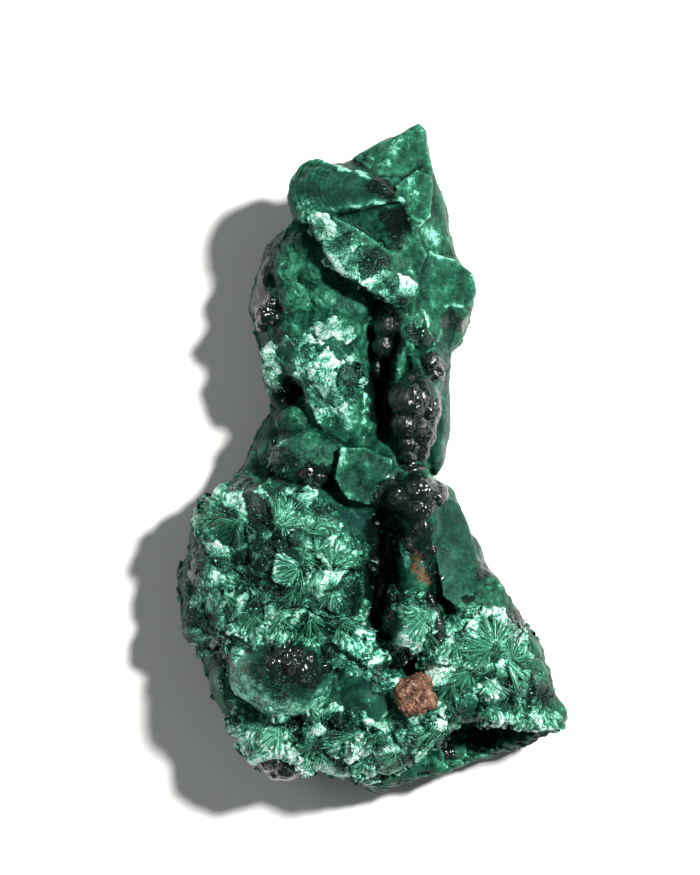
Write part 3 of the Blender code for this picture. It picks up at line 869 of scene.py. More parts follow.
        ],
        Kind.CHIPPED: [
            (-8.0, 21.4, 3.6, 5.4, 10), (2.0, -35.0, 6.0, 2.0),
        ],
        Kind.RUST: [
            (4.6, -10.4, 0.7, 1.3, 10, 0.6), (5.2, -12.0, 1.1, 1.5, 20, 0.72),
        ],
    }.items() for oval in ovals
]

# Fans seen best: the arch under the waist, the sprays of the left field, the fluted plate,
# the two starbursts, and the sheaves of the foot
FANS = [Fan(*numbers) for numbers in (
    (-10.3, -6.6, 42, 118, 3.7, 20, 0.86, 0.4), (-14.9, -6.4, 222, 130, 3.2, 4, 0.52, 0.5),
    (-8.0, -11.4, 215, 140, 3.1, 12, 0.68, 0.6), (-6.3, -11.8, 262, 44, 2.5, 16, 0.95, 0.5),
    (-6.4, -9.8, 55, 80, 2.2, 18, 0.86, 0.4), (-4.6, -11.2, 70, 110, 2.4, 14, 0.74, 0.4),
    (-4.6, -14.0, 262, 120, 2.4, 12, 0.80, 0.4), (-8.6, -13.8, 250, 80, 2.2, 14, 0.58, 0.4),
    (-11.2, -10.6, 190, 100, 2.6, 8, 0.46, 0.3), (-12.4, -13.6, 265, 120, 2.5, 12, 0.50, 0.4),
    (-16.6, -14.4, 285, 100, 2.0, 14, 0.72, 0.4), (-13.2, -16.6, 250, 110, 2.4, 12, 0.62, 0.4),
    (-10.2, -17.0, 275, 120, 2.3, 12, 0.58, 0.4), (-7.0, -17.0, 290, 110, 2.4, 12, 0.55, 0.4),
    (-3.6, -17.4, 300, 110, 2.3, 14, 0.66, 0.4), (-16.6, -19.4, 255, 80, 2.4, 16, 0.72, 0.4),
    (-12.8, -8.4, 140, 90, 2.0, 10, 0.42, 0.3), (-7.2, -7.6, 10, 90, 2.2, 14, 0.62, 0.4),
    (6.0, -16.4, 214, 150, 3.8, 6, 0.80, 0.9), (5.4, -16.0, 128, 70, 2.9, 6, 0.55, 0.8),
    (5.8, -18.4, 290, 60, 2.4, 6, 0.55, 0.7), (13.4, -20.2, 96, 130, 3.5, 12, 0.80, 0.3),
    (12.4, -20.6, 196, 110, 3.0, 8, 0.66, 0.3), (15.2, -21.8, 52, 110, 3.0, 12, 0.72, 0.3),
    (14.8, -22.2, 304, 36, 3.2, 10, 0.95, 0.5), (12.2, -23.6, 316, 40, 3.2, 10, 0.90, 0.5),
    (10.6, -22.8, 240, 100, 2.4, 10, 0.60, 0.3), (9.0, -19.4, 262, 70, 2.6, 8, 0.78, 0.4),
    (8.6, -24.4, 250, 120, 2.6, 12, 0.62, 0.4), (13.0, -26.6, 250, 110, 2.2, 10, 0.62, 0.3),
    (16.6, -28.2, 285, 90, 1.6, 4, 0.70, 0.4), (-10.2, -29.4, 236, 80, 3.4, 8, 0.84, 0.5),
    (-12.4, -28.2, 250, 60, 3.2, 6, 0.66, 0.4), (-9.4, -28.0, 284, 50, 2.6, 6, 0.30, 0.5),
    (-8.0, -31.6, 0, 44, 2.6, 6, 0.30, 0.4), (-4.0, -27.8, 258, 60, 2.8, 8, 0.26, 0.5),
    (-7.0, -26.9, 285, 50, 1.8, 6, 0.84, 0.4), (-3.4, -31.0, 240, 100, 2.4, 10, 0.70, 0.4),
    (-5.8, -32.2, 270, 120, 1.6, 10, 0.76, 0.3), (0.2, -29.6, 262, 120, 2.6, 10, 0.52, 0.4),
    (-1.8, -29.8, 215, 90, 3.0, 22, 0.80, 0.5), (2.8, -29.6, 330, 80, 2.8, 20, 0.70, 0.5),
    (-0.6, -32.6, 250, 90, 2.4, 20, 0.75, 0.4), (-6.6, -30.8, 230, 80, 2.8, 24, 0.66, 0.5),
    (5.4, -27.8, 60, 100, 2.4, 18, 0.66, 0.4), (5.0, -32.4, 48, 34, 4.2, 12, 0.92, 0.5),
    (6.6, -29.4, 225, 60, 2.6, 12, 0.70, 0.4), (2.4, -31.8, 250, 120, 2.2, 10, 0.55, 0.3),
    (-5.2, 7.2, 65, 120, 3.6, 6, 0.70, 0.2), (-5.4, 6.6, 130, 90, 3.2, 6, 0.66, 0.2),
    (-10.8, 11.4, 150, 110, 1.8, 6, 0.88, 0.2), (-11.0, 9.4, 235, 100, 1.9, 6, 0.94, 0.2),
    (-4.6, 15.2, 250, 150, 2.0, 6, 0.90, 0.2), (-3.0, 15.2, 300, 90, 1.8, 6, 0.86, 0.2),
    (4.9, 15.8, 280, 50, 2.8, 10, 0.70, 0.2), (-0.6, 22.4, 0, 360, 1.5, 8, 0.30, -0.1),
    (-3.4, 24.4, 225, 100, 2.4, 4, 0.72, 0.0), (-2.4, 22.4, 235, 90, 2.6, 4, 0.76, 0.0),
    (1.6, 20.6, 250, 120, 2.0, 4, 0.60, 0.0), (-5.6, 26.0, 215, 120, 1.6, 4, 0.72, 0.0),
)]


# ---------------------------------------------------------------- mesh helpers


def strewn(dice: random.Random, count: int, ground: "Ground") -> Iterator[tuple[Vector, Vector]]:
    """Strews places over the silk.

    Args:
        dice: the source of chance.
        count: how many places are tried.
        ground: what they lie on.

    Yields:
        The point and its normal, for each place that lies high enough.
    """
    silky = [spot for spot in SPOTS if spot.kind is Kind.SILK]
    weights = [spot.rx * spot.ry for spot in silky]
    for _ in range(count):
        spot = dice.choices(silky, weights)[0]
        found = ground.under(
            dice.gauss(spot.x, spot.rx * 0.5), dice.gauss(spot.y, spot.ry * 0.5))
        if found is not None and found[0].z >= GROWTH_FLOOR:
            yield found


def show(name: str, shape: bmesh.types.BMesh, finish: bpy.types.Material | None = None,
         smooth: bool = True) -> bpy.types.Object:
    """Makes an object of a bmesh, and frees the bmesh.

    Args:
        name: the object's name.
        shape: its shape, in metres.
        finish: its material.
        smooth: whether its faces are shaded smooth.

    Returns:
        The object.
    """
    mesh = bpy.data.meshes.new(name)
    shape.to_mesh(mesh)
    shape.free()
    if finish is not None:
        mesh.materials.append(finish)
    mesh.polygons.foreach_set("use_smooth", [smooth] * len(mesh.polygons))
    made = bpy.data.objects.new(name, mesh)
    bpy.context.scene.collection.objects.link(made)
    return made


def applied(obj: bpy.types.Object) -> None:
    """Turns an object's modifiers into its mesh.

    Args:
        obj: the object.
    """
    graph = bpy.context.evaluated_depsgraph_get()
    mesh = bpy.data.meshes.new_from_object(obj.evaluated_get(graph))
    obj.modifiers.clear()
    old = obj.data
    obj.data = mesh
    bpy.data.meshes.remove(old)


def fused(obj: bpy.types.Object, voxel: float, smoothing: int) -> None:
    """Fuses everything in an object into one closed skin.

    Args:
        obj: the object.
        voxel: the skin's grain.
        smoothing: how many times the skin is evened out.
    """
    remesh = obj.modifiers.new("fuse", "REMESH")
    remesh.mode = "VOXEL"
    remesh.voxel_size = voxel * MM
    remesh.use_smooth_shade = True
    if smoothing:
        even = obj.modifiers.new("even", "SMOOTH")
        even.factor = 0.5
        even.iterations = smoothing
    applied(obj)


def thinned(obj: bpy.types.Object, most: int) -> None:
    """Takes faces away where the surface is plain, down to a number of triangles.

    Args:
        obj: the object.
        most: the most triangles that it keeps.
    """
    now = sum(len(face.vertices) - 2 for face in obj.data.polygons)
    if now <= most:
        return
    fewer = obj.modifiers.new("fewer", "DECIMATE")
    fewer.ratio = most / now
    applied(obj)


def finished(obj: bpy.types.Object, finish: bpy.types.Material) -> bpy.types.Object:
    """Gives a piece its one material.

    Args:
        obj: the piece.
        finish: the material.

    Returns:
        The piece.
    """
    obj.data.materials.clear()
    obj.data.materials.append(finish)
    LOG.info("%s: %d faces", obj.name, len(obj.data.polygons))
    return obj


def swollen(obj: bpy.types.Object, relief: Callable[[Vector], float]) -> None:
    """Moves each point in or out.

    Args:
        obj: the object.
        relief: how far a point moves, from its place in millimetres.
    """
    places, outward = points(obj), normals(obj)
    moved = np.array([relief(place) for place in map(Vector, places)])
    move(obj, places + outward * moved[:, None])


def points(obj: bpy.types.Object) -> np.ndarray:
    """The mesh's points in millimetres.

    Args:
        obj: the object.

    Returns:
        An array of rows x, y, z.
    """
    found = np.empty(len(obj.data.vertices) * 3, np.float32)
    obj.data.vertices.foreach_get("co", found)
    return found.reshape(-1, 3).astype(float) / MM


def normals(obj: bpy.types.Object) -> np.ndarray:
    """The mesh's point normals.

    Args:
        obj: the object.

    Returns:
        An array of rows x, y, z.
    """
    found = np.empty(len(obj.data.vertices) * 3, np.float32)
    obj.data.vertex_normals.foreach_get("vector", found)
    return found.reshape(-1, 3).astype(float)


def move(obj: bpy.types.Object, places: np.ndarray) -> None:
    """Puts the mesh's points in new places.

    Args:
        obj: the object.
        places: the places, in millimetres.
    """
    obj.data.vertices.foreach_set("co", (places * MM).astype(np.float32).ravel())
    obj.data.update()


def store(obj: bpy.types.Object, name: str, values: np.ndarray) -> None:
    """Stores a number or a vector for each point.

    Args:
        obj: the object.
        name: the attribute's name.
        values: the numbers, or rows x, y, z.
    """
    vector = values.ndim == 2
    made = obj.data.attributes.new(name, "FLOAT_VECTOR" if vector else "FLOAT", "POINT")
    made.data.foreach_set("vector" if vector else "value", values.astype(np.float32).ravel())


def smoothstep(low: float, high: float, value: np.ndarray) -> np.ndarray:
    """A soft step from 0 to 1.

    Args:
        low: where it starts.
        high: where it ends.
        value: the numbers.

    Returns:
        The stepped numbers.
    """
    share = np.clip((value - low) / (high - low), 0.0, 1.0)
    return share * share * (3.0 - 2.0 * share)


def covered(kind: Kind, x: np.ndarray, y: np.ndarray) -> np.ndarray:
    """How much each point is covered by the spots of a kind.

    Args:
        kind: the kind.
        x: the points' x.
        y: their y.

    Returns:
        Cover from 0 to 1 for each point.
    """
    found = np.zeros(len(x))
    for spot in SPOTS:
        if spot.kind is not kind:
            continue
        c, s = math.cos(math.radians(spot.turn)), math.sin(math.radians(spot.turn))
        u = ((x - spot.x) * c + (y - spot.y) * s) / spot.rx
        v = ((y - spot.y) * c - (x - spot.x) * s) / spot.ry
        found = np.maximum(found, spot.amount * (1.0 - smoothstep(0.6, 1.25, np.hypot(u, v))))
    return found


def wandering(places: np.ndarray) -> tuple[np.ndarray, np.ndarray]:
    """Where points lie from above, bent a little so that no cover ends in a plain curve.

    Args:
        places: the points in millimetres.

    Returns:
        Their x and y.
    """
    x = places[:, 0] + 0.30 * np.sin(places[:, 1] * 1.9 + places[:, 2] * 0.7) + 0.16 * np.sin(
        places[:, 1] * 5.3 + places[:, 0] * 2.9)
    y = places[:, 1] + 0.30 * np.sin(places[:, 0] * 2.1 + places[:, 2] * 0.9) + 0.16 * np.sin(
        places[:, 0] * 4.7 - places[:, 1] * 3.1)
    return x, y


def edge_wear_and_hollow_shade(obj: bpy.types.Object, reach: float) -> np.ndarray:
    """How much each point stands proud of its neighbours, or lies below them.

    Args:
        obj: the object.
        reach: the height in millimetres that counts as fully proud.

    Returns:
        A number for each point, from -1 in a crevice to 1 on an edge.
    """
    places, outward = points(obj), normals(obj)
    ends = np.empty(len(obj.data.edges) * 2, np.int32)
    obj.data.edges.foreach_get("vertices", ends)
    first, second = ends.reshape(-1, 2).T
    count = np.bincount(ends, minlength=len(places))[:, None]
    middle = places
    for _ in range(3):
        total = np.zeros_like(places)
        np.add.at(total, first, middle[second])
        np.add.at(total, second, middle[first])
        middle = total / np.maximum(count, 1)
    return np.clip(((places - middle) * outward).sum(axis=1) / reach, -1, 1)


def store_cover(obj: bpy.types.Object, kinds: tuple[Kind, ...], x: np.ndarray, y: np.ndarray,
                below: "np.ndarray | float") -> None:
    """Stores how much each kind covers each point.

    Args:
        obj: the object.
        kinds: the kinds.
        x: the points' x.
        y: their y.
        below: how far each is on the lower sides, from 0 to 1.
    """
    for kind in kinds:
        store(obj, kind.value, covered(kind, x, y) * (1 - below))


def add_dome(shape: bmesh.types.BMesh, dome: Dome, wobble: float = 0.10) -> None:
    """Adds a rounded growth.

    Args:
        shape: the bmesh it goes in.
        dome: its place and size.
        wobble: how uneven it is.
    """
    ball = bmesh.ops.create_icosphere(shape, subdivisions=4, radius=1.0)["verts"]
    centre = Vector((dome.x, dome.y, dome.z))
    for vert in ball:
        vert.co *= 1.0 + wobble * noise.noise(vert.co * 1.5 + centre)
    place = (
        Matrix.Translation(centre * MM)
        @ Euler((0.0, 0.0, math.radians(dome.turn))).to_matrix().to_4x4()
        @ Matrix.Diagonal((dome.rx * MM, dome.ry * MM, dome.rz * MM, 1.0))
    )
    bmesh.ops.transform(shape, matrix=place, verts=ball)


def add_plate(shape: bmesh.types.BMesh, plate: Plate) -> None:
    """Adds an angular growth.

    Args:
        shape: the bmesh it goes in.
        plate: its corners and depth.
    """
    drop = Vector((0.0, 0.0, plate.depth))
    top = [shape.verts.new(Vector(corner) * MM) for corner in plate.corners]
    foot = [shape.verts.new((Vector(corner) - drop) * MM) for corner in plate.corners]
    hull = bmesh.ops.convex_hull(shape, input=top + foot, use_existing_faces=False)
    unused = [item for item in hull["geom_interior"] if isinstance(item, bmesh.types.BMVert)]
    bmesh.ops.delete(shape, geom=unused, context="VERTS")


# ---------------------------------------------------------------- the stone


@dataclass
class StoneBody:
    """The stone's skin: the CAD solid with its growths, fused and sculpted."""

    voxel: float = 0.19
    smoothing: int = 1
    most: int = 192_000
    sink: float = 0.12
    sink_above: float = 9.0
    spray_size: float = 7.0
    chip_size: float = 1.9
    ear_middle: tuple[float, float] = (-2.8, 30.4)

    def build(self) -> bpy.types.Object:
        """Makes the piece.

        Returns:
            The object.
        """
        shape = bmesh.new()
        shape.from_mesh(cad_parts[NODE].data)
        bmesh.ops.remove_doubles(shape, verts=shape.verts, dist=0.00001)
        for _ in range(3):
            bmesh.ops.smooth_vert(shape, verts=shape.verts, factor=0.4, use_axis_x=True,
                                  use_axis_y=True, use_axis_z=True)
        for vert in shape.verts:
            if vert.co.z > self.sink_above * MM:
                vert.co.z -= (vert.co.z - self.sink_above * MM) * self.sink
        for plate in PLATES:
            add_plate(shape, plate)
        for dome in DOMES:
            add_dome(shape, dome)
        stone = show("stone_skin", shape)
        fused(stone, self.voxel, self.smoothing)
        self.sculpt(stone)
        thinned(stone, self.most)
        self.paint(stone)
        return finished(stone, SKIN_FINISH.build())

    def sculpt(self, stone: bpy.types.Object) -> None:
        """Gives the skin its relief.

        Args:
            stone: the fused stone.
        """
        places, outward = points(stone), normals(stone)
        x, y = wandering(places)
        calm = np.clip(covered(Kind.CALM, x, y), 0, 1)
        black, chipped = covered(Kind.BLACK, x, y), covered(Kind.CHIPPED, x, y)
        below = smoothstep(HIGH_SIDE, LOW_SIDE, places[:, 2])
        silk = covered(Kind.SILK, x, y) * (1 - below)
        rough = np.clip(np.maximum(chipped, below * 0.9) + 0.3, 0, 1)
        rough = rough * (1 - 0.9 * np.maximum(calm, silk))
        moved = np.empty(len(places))
        split = 0.25 + 1.05 * chipped
        for index, (place, r, b, deep) in enumerate(
                zip(map(Vector, places), rough, black, split)):
            height = 0.18 * noise.noise(place * 0.5) + 0.06 * noise.noise(place * 1.9)
            if r > 0.05:
                gaps, centres = noise.voronoi(place / self.chip_size)
                tilt = noise.cell_vector(centres[0] * 5.7)
                height += r * (1 - b) * (
                    (0.42 - 0.12 * deep) * (place / self.chip_size - centres[0]).dot(tilt)
                    - deep * max(0.0, 0.09 - gaps[1] + gaps[0])
                    + 0.14 * noise.noise(place * 1.3) + 0.10 * noise.noise(place * 2.4)
                    + 0.05 * noise.noise(place * 4.7)
                )
            if b > 0.1:
                gaps, _ = noise.voronoi(place / 0.7)
                height += b * 0.24 * (0.5 - gaps[0])
            moved[index] = height
        moved *= smoothstep(0.25, 0.9, places[:, 2])
        move(stone, places + outward * moved[:, None])

    def paint(self, stone: bpy.types.Object) -> None:
        """Stores what the finish reads.

        Args:
            stone: the sculpted stone.
        """
        places, outward = points(stone), normals(stone)
        x, y = wandering(places)
        below = smoothstep(HIGH_SIDE, LOW_SIDE, places[:, 2])
        calm = np.clip(covered(Kind.CALM, x, y), 0, 1)
        silk = 0.25 * (1 - calm) * (1 - below) + 0.35 * below
        rays = np.empty((len(places), 3))
        tone = np.empty(len(places))
        for index, place in enumerate(map(Vector, places)):
            gaps, starts = noise.voronoi(place / self.spray_size)
            own = noise.cell(starts[0] * 7.31)
            aim = (place / self.spray_size - starts[0]).normalized()
            rays[index] = aim + Vector((own * 3, own * 5, 0))
            tone[index] = own
        across, up = places[:, 0] - self.ear_middle[0], places[:, 1] - self.ear_middle[1]
        ear = np.hypot(across, up * 1.1)
        near = (1 - smoothstep(5.5, 7.5, ear)) * smoothstep(13.5, 15.0, places[:, 2])
        near *= smoothstep(2.0, -2.5, across)
        spread = np.stack([across, up, 0 * ear], axis=1) / ear[:, None]
        rays = np.where(near[:, None] > 0.3, spread, rays)
        store(stone, "ray", rays)
        store(stone, "tone", tone)
        store(stone, "silk", silk)
        for name in ("crevice_shade", "along"):
            store(stone, name, np.zeros(len(places)))
        # lighter on proud edges, partly wear and partly painted highlight; darker in hollows,
        # painted shade
        store(stone, "edge", edge_wear_and_hollow_shade(stone, 0.16))
        store_cover(
            stone, (Kind.BLACK, Kind.PALE_AND_SHEEN, Kind.RUST, Kind.CHIPPED, Kind.SHADE), x, y, below)
        store(stone, "band", ear * near)
        # darker low on the sides and on faces that look down
        facing_down = smoothstep(0.2, -0.6, outward[:, 2])
        store(stone, "low_and_under_dark", np.clip(0.55 * below + 0.25 * facing_down, 0, 1))


class Ground:
    """The finished skin, which other pieces are set on."""

    def __init__(self, *solids: bpy.types.Object) -> None:
        """Reads the finished pieces.

        Args:
            solids: the pieces that make the ground.
        """
        graph = bpy.context.evaluated_depsgraph_get()
        self.trees = [BVHTree.FromObject(solid, graph) for solid in solids]

    def under(self, x: float, y: float) -> tuple[Vector, Vector] | None:
        """The ground under a place.

        Args:
            x: the place's x.
            y: its y.

        Returns:
            The highest point there in millimetres and its normal, or None beside the stone.
        """
        hits = [tree.ray_cast(Vector((x, y, 60.0)) * MM, -UP)[:2] for tree in self.trees]
        hits = [hit for hit in hits if hit[0] is not None]
        if not hits:
            return None
        point, normal = max(hits, key=lambda hit: hit[0].z)
        return point / MM, normal


@dataclass
class SilkCrust:
    """The silky sprays: a fine fluted crust over the silky parts of the skin."""

    stone: bpy.types.Object
    names: tuple[str, ...] = ("upper_silk", "left_silk", "lower_silk")
    thickness: float = 0.6
    cuts: int = 1
    strewn_sprays: int = 80
    most: int = 190_000

    def sprays(self) -> list[Fan]:
        """The listed sprays, and small ones strewn between them.

        Returns:
            The sprays.
        """
        dice = random.Random(11)
        silky = [spot for spot in SPOTS if spot.kind is Kind.SILK]
        weights = [spot.rx * spot.ry for spot in silky]
        made = list(FANS)
        for _ in range(self.strewn_sprays):
            spot = dice.choices(silky, weights)[0]
            turn, far = dice.uniform(0, 2 * math.pi), 1.15 * math.sqrt(dice.random())
            u, v = math.cos(turn) * far * spot.rx, math.sin(turn) * far * spot.ry
            c, s = math.cos(math.radians(spot.turn)), math.sin(math.radians(spot.turn))
            y = spot.y + u * s + v * c
            made.append(Fan(
                spot.x + u * c - v * s, y, dice.uniform(0, 360), 360,
                dice.uniform(1.5, 2.7) * (1.35 if y < -26.0 else 1.0), dice.uniform(-10, 30),
                dice.uniform(0.3, 0.85), dice.uniform(-0.1, 0.25),
            ))
        return made

    def relief(self, places: np.ndarray, sprays: list[Fan]) -> dict[str, np.ndarray]:
        """Works out which spray each point belongs to, and its relief.

        Args:
            places: the points in millimetres.
            sprays: the sprays.

        Returns:
            The relief, and what the finish reads, by name.
        """
        count = len(places)
        best, second = np.full(count, 1e9), np.full(count, 1e9)
        which = np.zeros(count, int)
        ragged = np.array([
            (noise.noise(p * 1.5), noise.noise(p * 1.5 + Vector((9, 9, 9))))
            for p in map(Vector, places)
        ])
        flat = places[:, :2] + ragged * 0.22
        for index, fan in enumerate(sprays):
            dx, dy = flat[:, 0] - fan.x, flat[:, 1] - fan.y
            far = np.hypot(dx, dy)
            score = far / fan.reach
            if fan.opening < 360:
                turn = np.degrees(np.arctan2(dy, dx)) - fan.aim
                turn = np.abs((turn + 180) % 360 - 180) - fan.opening / 2
                score = score * (1 + np.clip(turn, 0, 180) / 25) - 0.12
            nearer = score < best
            second = np.where(nearer, best, np.minimum(second, score))
            which = np.where(nearer, index, which)
            best = np.where(nearer, score, best)
        x, y, reach, aim, lean, light, rise, opening = np.array([
            (f.x, f.y, f.reach, f.aim, f.lift, f.tone, f.rise, f.opening) for f in sprays
        ])[which].T
        dx, dy = places[:, 0] - x, places[:, 1] - y
        far = np.hypot(dx, dy)
        share = np.clip(far / reach, 0, 1.3)
        angle = np.arctan2(dy, dx)
        own = (which * 0.6180339) % 1.0
        waves = sum(
            weight * np.sin(angle * rate + own * rate * 11 + far * 0.5 * math.sin(rate))
            for rate, weight in ((7, 0.30), (13, 0.36), (23, 0.34), (37, 0.22), (53, 0.12))
        )
        fan = opening < 360
        plain = (own > 0.74) & ~fan
        waves = np.where(plain, 0.3, 1.0) * waves
        lift = np.sin(np.radians(lean))
        rising = 0.55 * lift * reach * np.sqrt(np.clip(share, 0, 1))
        cushion = reach * (0.38 - 0.55 * share * share) * 0.34 + 0.30 * lift * (
            dx * np.cos(np.radians(aim)) + dy * np.sin(np.radians(aim)))
        height = rise + np.where(fan, rising, cushion)
        height += 0.065 * waves * np.clip(far / 0.9, 0, 1)
        height -= 0.20 * np.clip(1 - (second - best) / 0.08, 0, 1)
        ray = np.stack([np.cos(angle), np.sin(angle), 0.16 * far], axis=1)
        tone = light + (own - 0.5) * 0.1
        # painted sheen: each spray lighter on one side and darker on the other, by the way its
        # fibres run
        tone = tone + np.where(fan, 0.16, 0.42) * np.cos(angle - own * 40.0) - 0.35 * plain
        return {
            "height": height, "ray": ray + np.stack([own * 5, own * 3, own], axis=1),
            "tone": np.clip(self.lit(tone, places), -0.2, 1.3),
            "along": np.clip(share, 0, 1),
            # painted shade: darker where two sprays meet, in the crevice between them
            "crevice_shade": np.clip(1 - (second - best) / 0.12, 0, 1),
        }

    def lit(self, tone: np.ndarray, places: np.ndarray) -> np.ndarray:
        """Makes the silk lighter at the foot, on the middle plate and at the left, and the upper
        field darker.

        Args:
            tone: each point's tone.
            places: the points in millimetres.

        Returns:
            The tones.
        """
        x, y = places[:, 0], places[:, 1]
        tone = tone + 0.18 * smoothstep(-25.0, -27.5, y)
        tone = tone - 0.08 * smoothstep(-13.5, -10.0, y) * smoothstep(0.0, -4.0, y)
        tone = tone + 0.06 * smoothstep(4.5, 7.0, y) * smoothstep(1.0, -1.0, x)
        # painted light: the left side, which the key lamp reaches at a slant, made lighter
        return tone + 0.05 * smoothstep(-11.5, -14.5, x)

    def cover(self, places: np.ndarray, outward: np.ndarray) -> np.ndarray:
        """How much silk covers each point.

        Args:
            places: the points in millimetres.
            outward: their normals.

        Returns:
            Cover from 0 to 1, none on the low and undercut sides.
        """
        found = covered(Kind.SILK, *wandering(places)) * smoothstep(4.5, 7.0, places[:, 2])
        return found * smoothstep(-0.15, 0.15, outward[:, 2])

    def build(self) -> list[bpy.types.Object]:
        """Makes the pieces.

        Returns:
            The objects.
        """
        cover = self.cover(points(self.stone), normals(self.stone))
        shape = bmesh.new()
        shape.from_mesh(self.stone.data)
        bare = [
            face for face in shape.faces if max(cover[vert.index] for vert in face.verts) < 0.06]
        bmesh.ops.delete(shape, geom=bare, context="FACES")
        bmesh.ops.subdivide_edges(shape, edges=shape.edges[:], cuts=self.cuts, use_grid_fill=True)
        bmesh.ops.triangulate(shape, faces=shape.faces[:])
        whole = show("silk", shape)
        for name in ("ray", *STONE_NUMBERS):
            if name not in ("edge", "chipped", "shade"):  # these carry over from the skin
                whole.data.attributes.remove(whole.data.attributes[name])
        places, outward = points(whole), normals(whole)
        found = self.relief(places, self.sprays())
        cover = self.cover(places, outward)
        fine = np.array([
            0.07 * noise.noise(p * 1.1) + 0.025 * noise.noise(p * 4.3) for p in map(Vector, places)
        ])
        shown = smoothstep(0.05, 0.70, cover)
        calmer = 1 - 0.68 * smoothstep(1.0, 4.0, places[:, 1])
        base = 0.32 - 0.24 * smoothstep(1.0, 4.0, places[:, 1]) * smoothstep(
            19.0, 17.0, places[:, 1])
        height = (base + calmer * np.maximum(found["height"] + fine, -0.22)) * shown
        height = height - 0.35 * (1 - shown)
        aim = outward * 0.7 + np.array([0.0, 0.0, 0.3])
        move(whole, places + aim * height[:, None])
        for name in ("ray", "tone", "crevice_shade", "along"):
            store(whole, name, found[name])
        store(whole, "silk", 0.25 + 0.75 * smoothstep(0.10, 0.65, cover))
        store_cover(whole, (Kind.BLACK, Kind.PALE_AND_SHEEN, Kind.RUST), *wandering(places), 0.0)
        for name in ("band", "low_and_under_dark"):
            store(whole, name, np.zeros(len(places)))
        finish = SILK_FINISH.build()
        made = [self.part(whole, name, finish) for name in self.names]
        bpy.data.objects.remove(whole)
        return made

    def part(self, whole: bpy.types.Object, name: str,
             finish: bpy.types.Material) -> bpy.types.Object:
        """Cuts one piece from the whole crust and closes it.

        Args:
            whole: the open crust.
            name: the piece's name.
            finish: its material.

        Returns:
            The object.
        """
        shape = bmesh.new()
        shape.from_mesh(whole.data)
        rest = []
        for face in shape.faces:
            middle = face.calc_center_median() / MM
            mine = (
                "upper_silk" if middle.y > 2.2
                else "left_silk" if middle.x < -0.2 and middle.y > -19.5 else "lower_silk"
            )
            if mine != name:
                rest.append(face)
        bmesh.ops.delete(shape, geom=rest, context="FACES")
        made = show(name, shape)
        solid = made.modifiers.new("depth", "SOLIDIFY")
        solid.thickness = self.thickness * MM
        solid.offset = -1.0
        applied(made)
        thinned(made, self.most)
        return finished(made, finish)


class Litter:
    """Many small crystals, each a copy of one form, gathered in one mesh."""

    def __init__(self, form: bmesh.types.BMesh) -> None:
        """Starts with nothing.

        Args:
            form: the form that is copied, one millimetre in size.
        """
        self.form = bpy.data.meshes.new("form")
        form.verts.layers.float.new("tone")
        form.to_mesh(self.form)
        form.free()
        self.shape = bmesh.new()

    def add(self, place: Matrix, tone: float) -> None:
        """Adds one crystal.

        Args:
            place: where it goes, how it is turned, and its size.
            tone: how light it is.
        """
        copy = self.form.copy()
        copy.transform(place)
        copy.attributes["tone"].data.foreach_set("value", [tone] * len(copy.vertices))
        self.shape.from_mesh(copy)
        bpy.data.meshes.remove(copy)

    def finish(self, name: str) -> bpy.types.Object:
        """Makes the piece.

        Args:
            name: its name.

        Returns:
            The object.
        """
        made = show(name, self.shape, smooth=False)
        bpy.data.meshes.remove(self.form)
        return finished(made, GrainFinish(name).build())


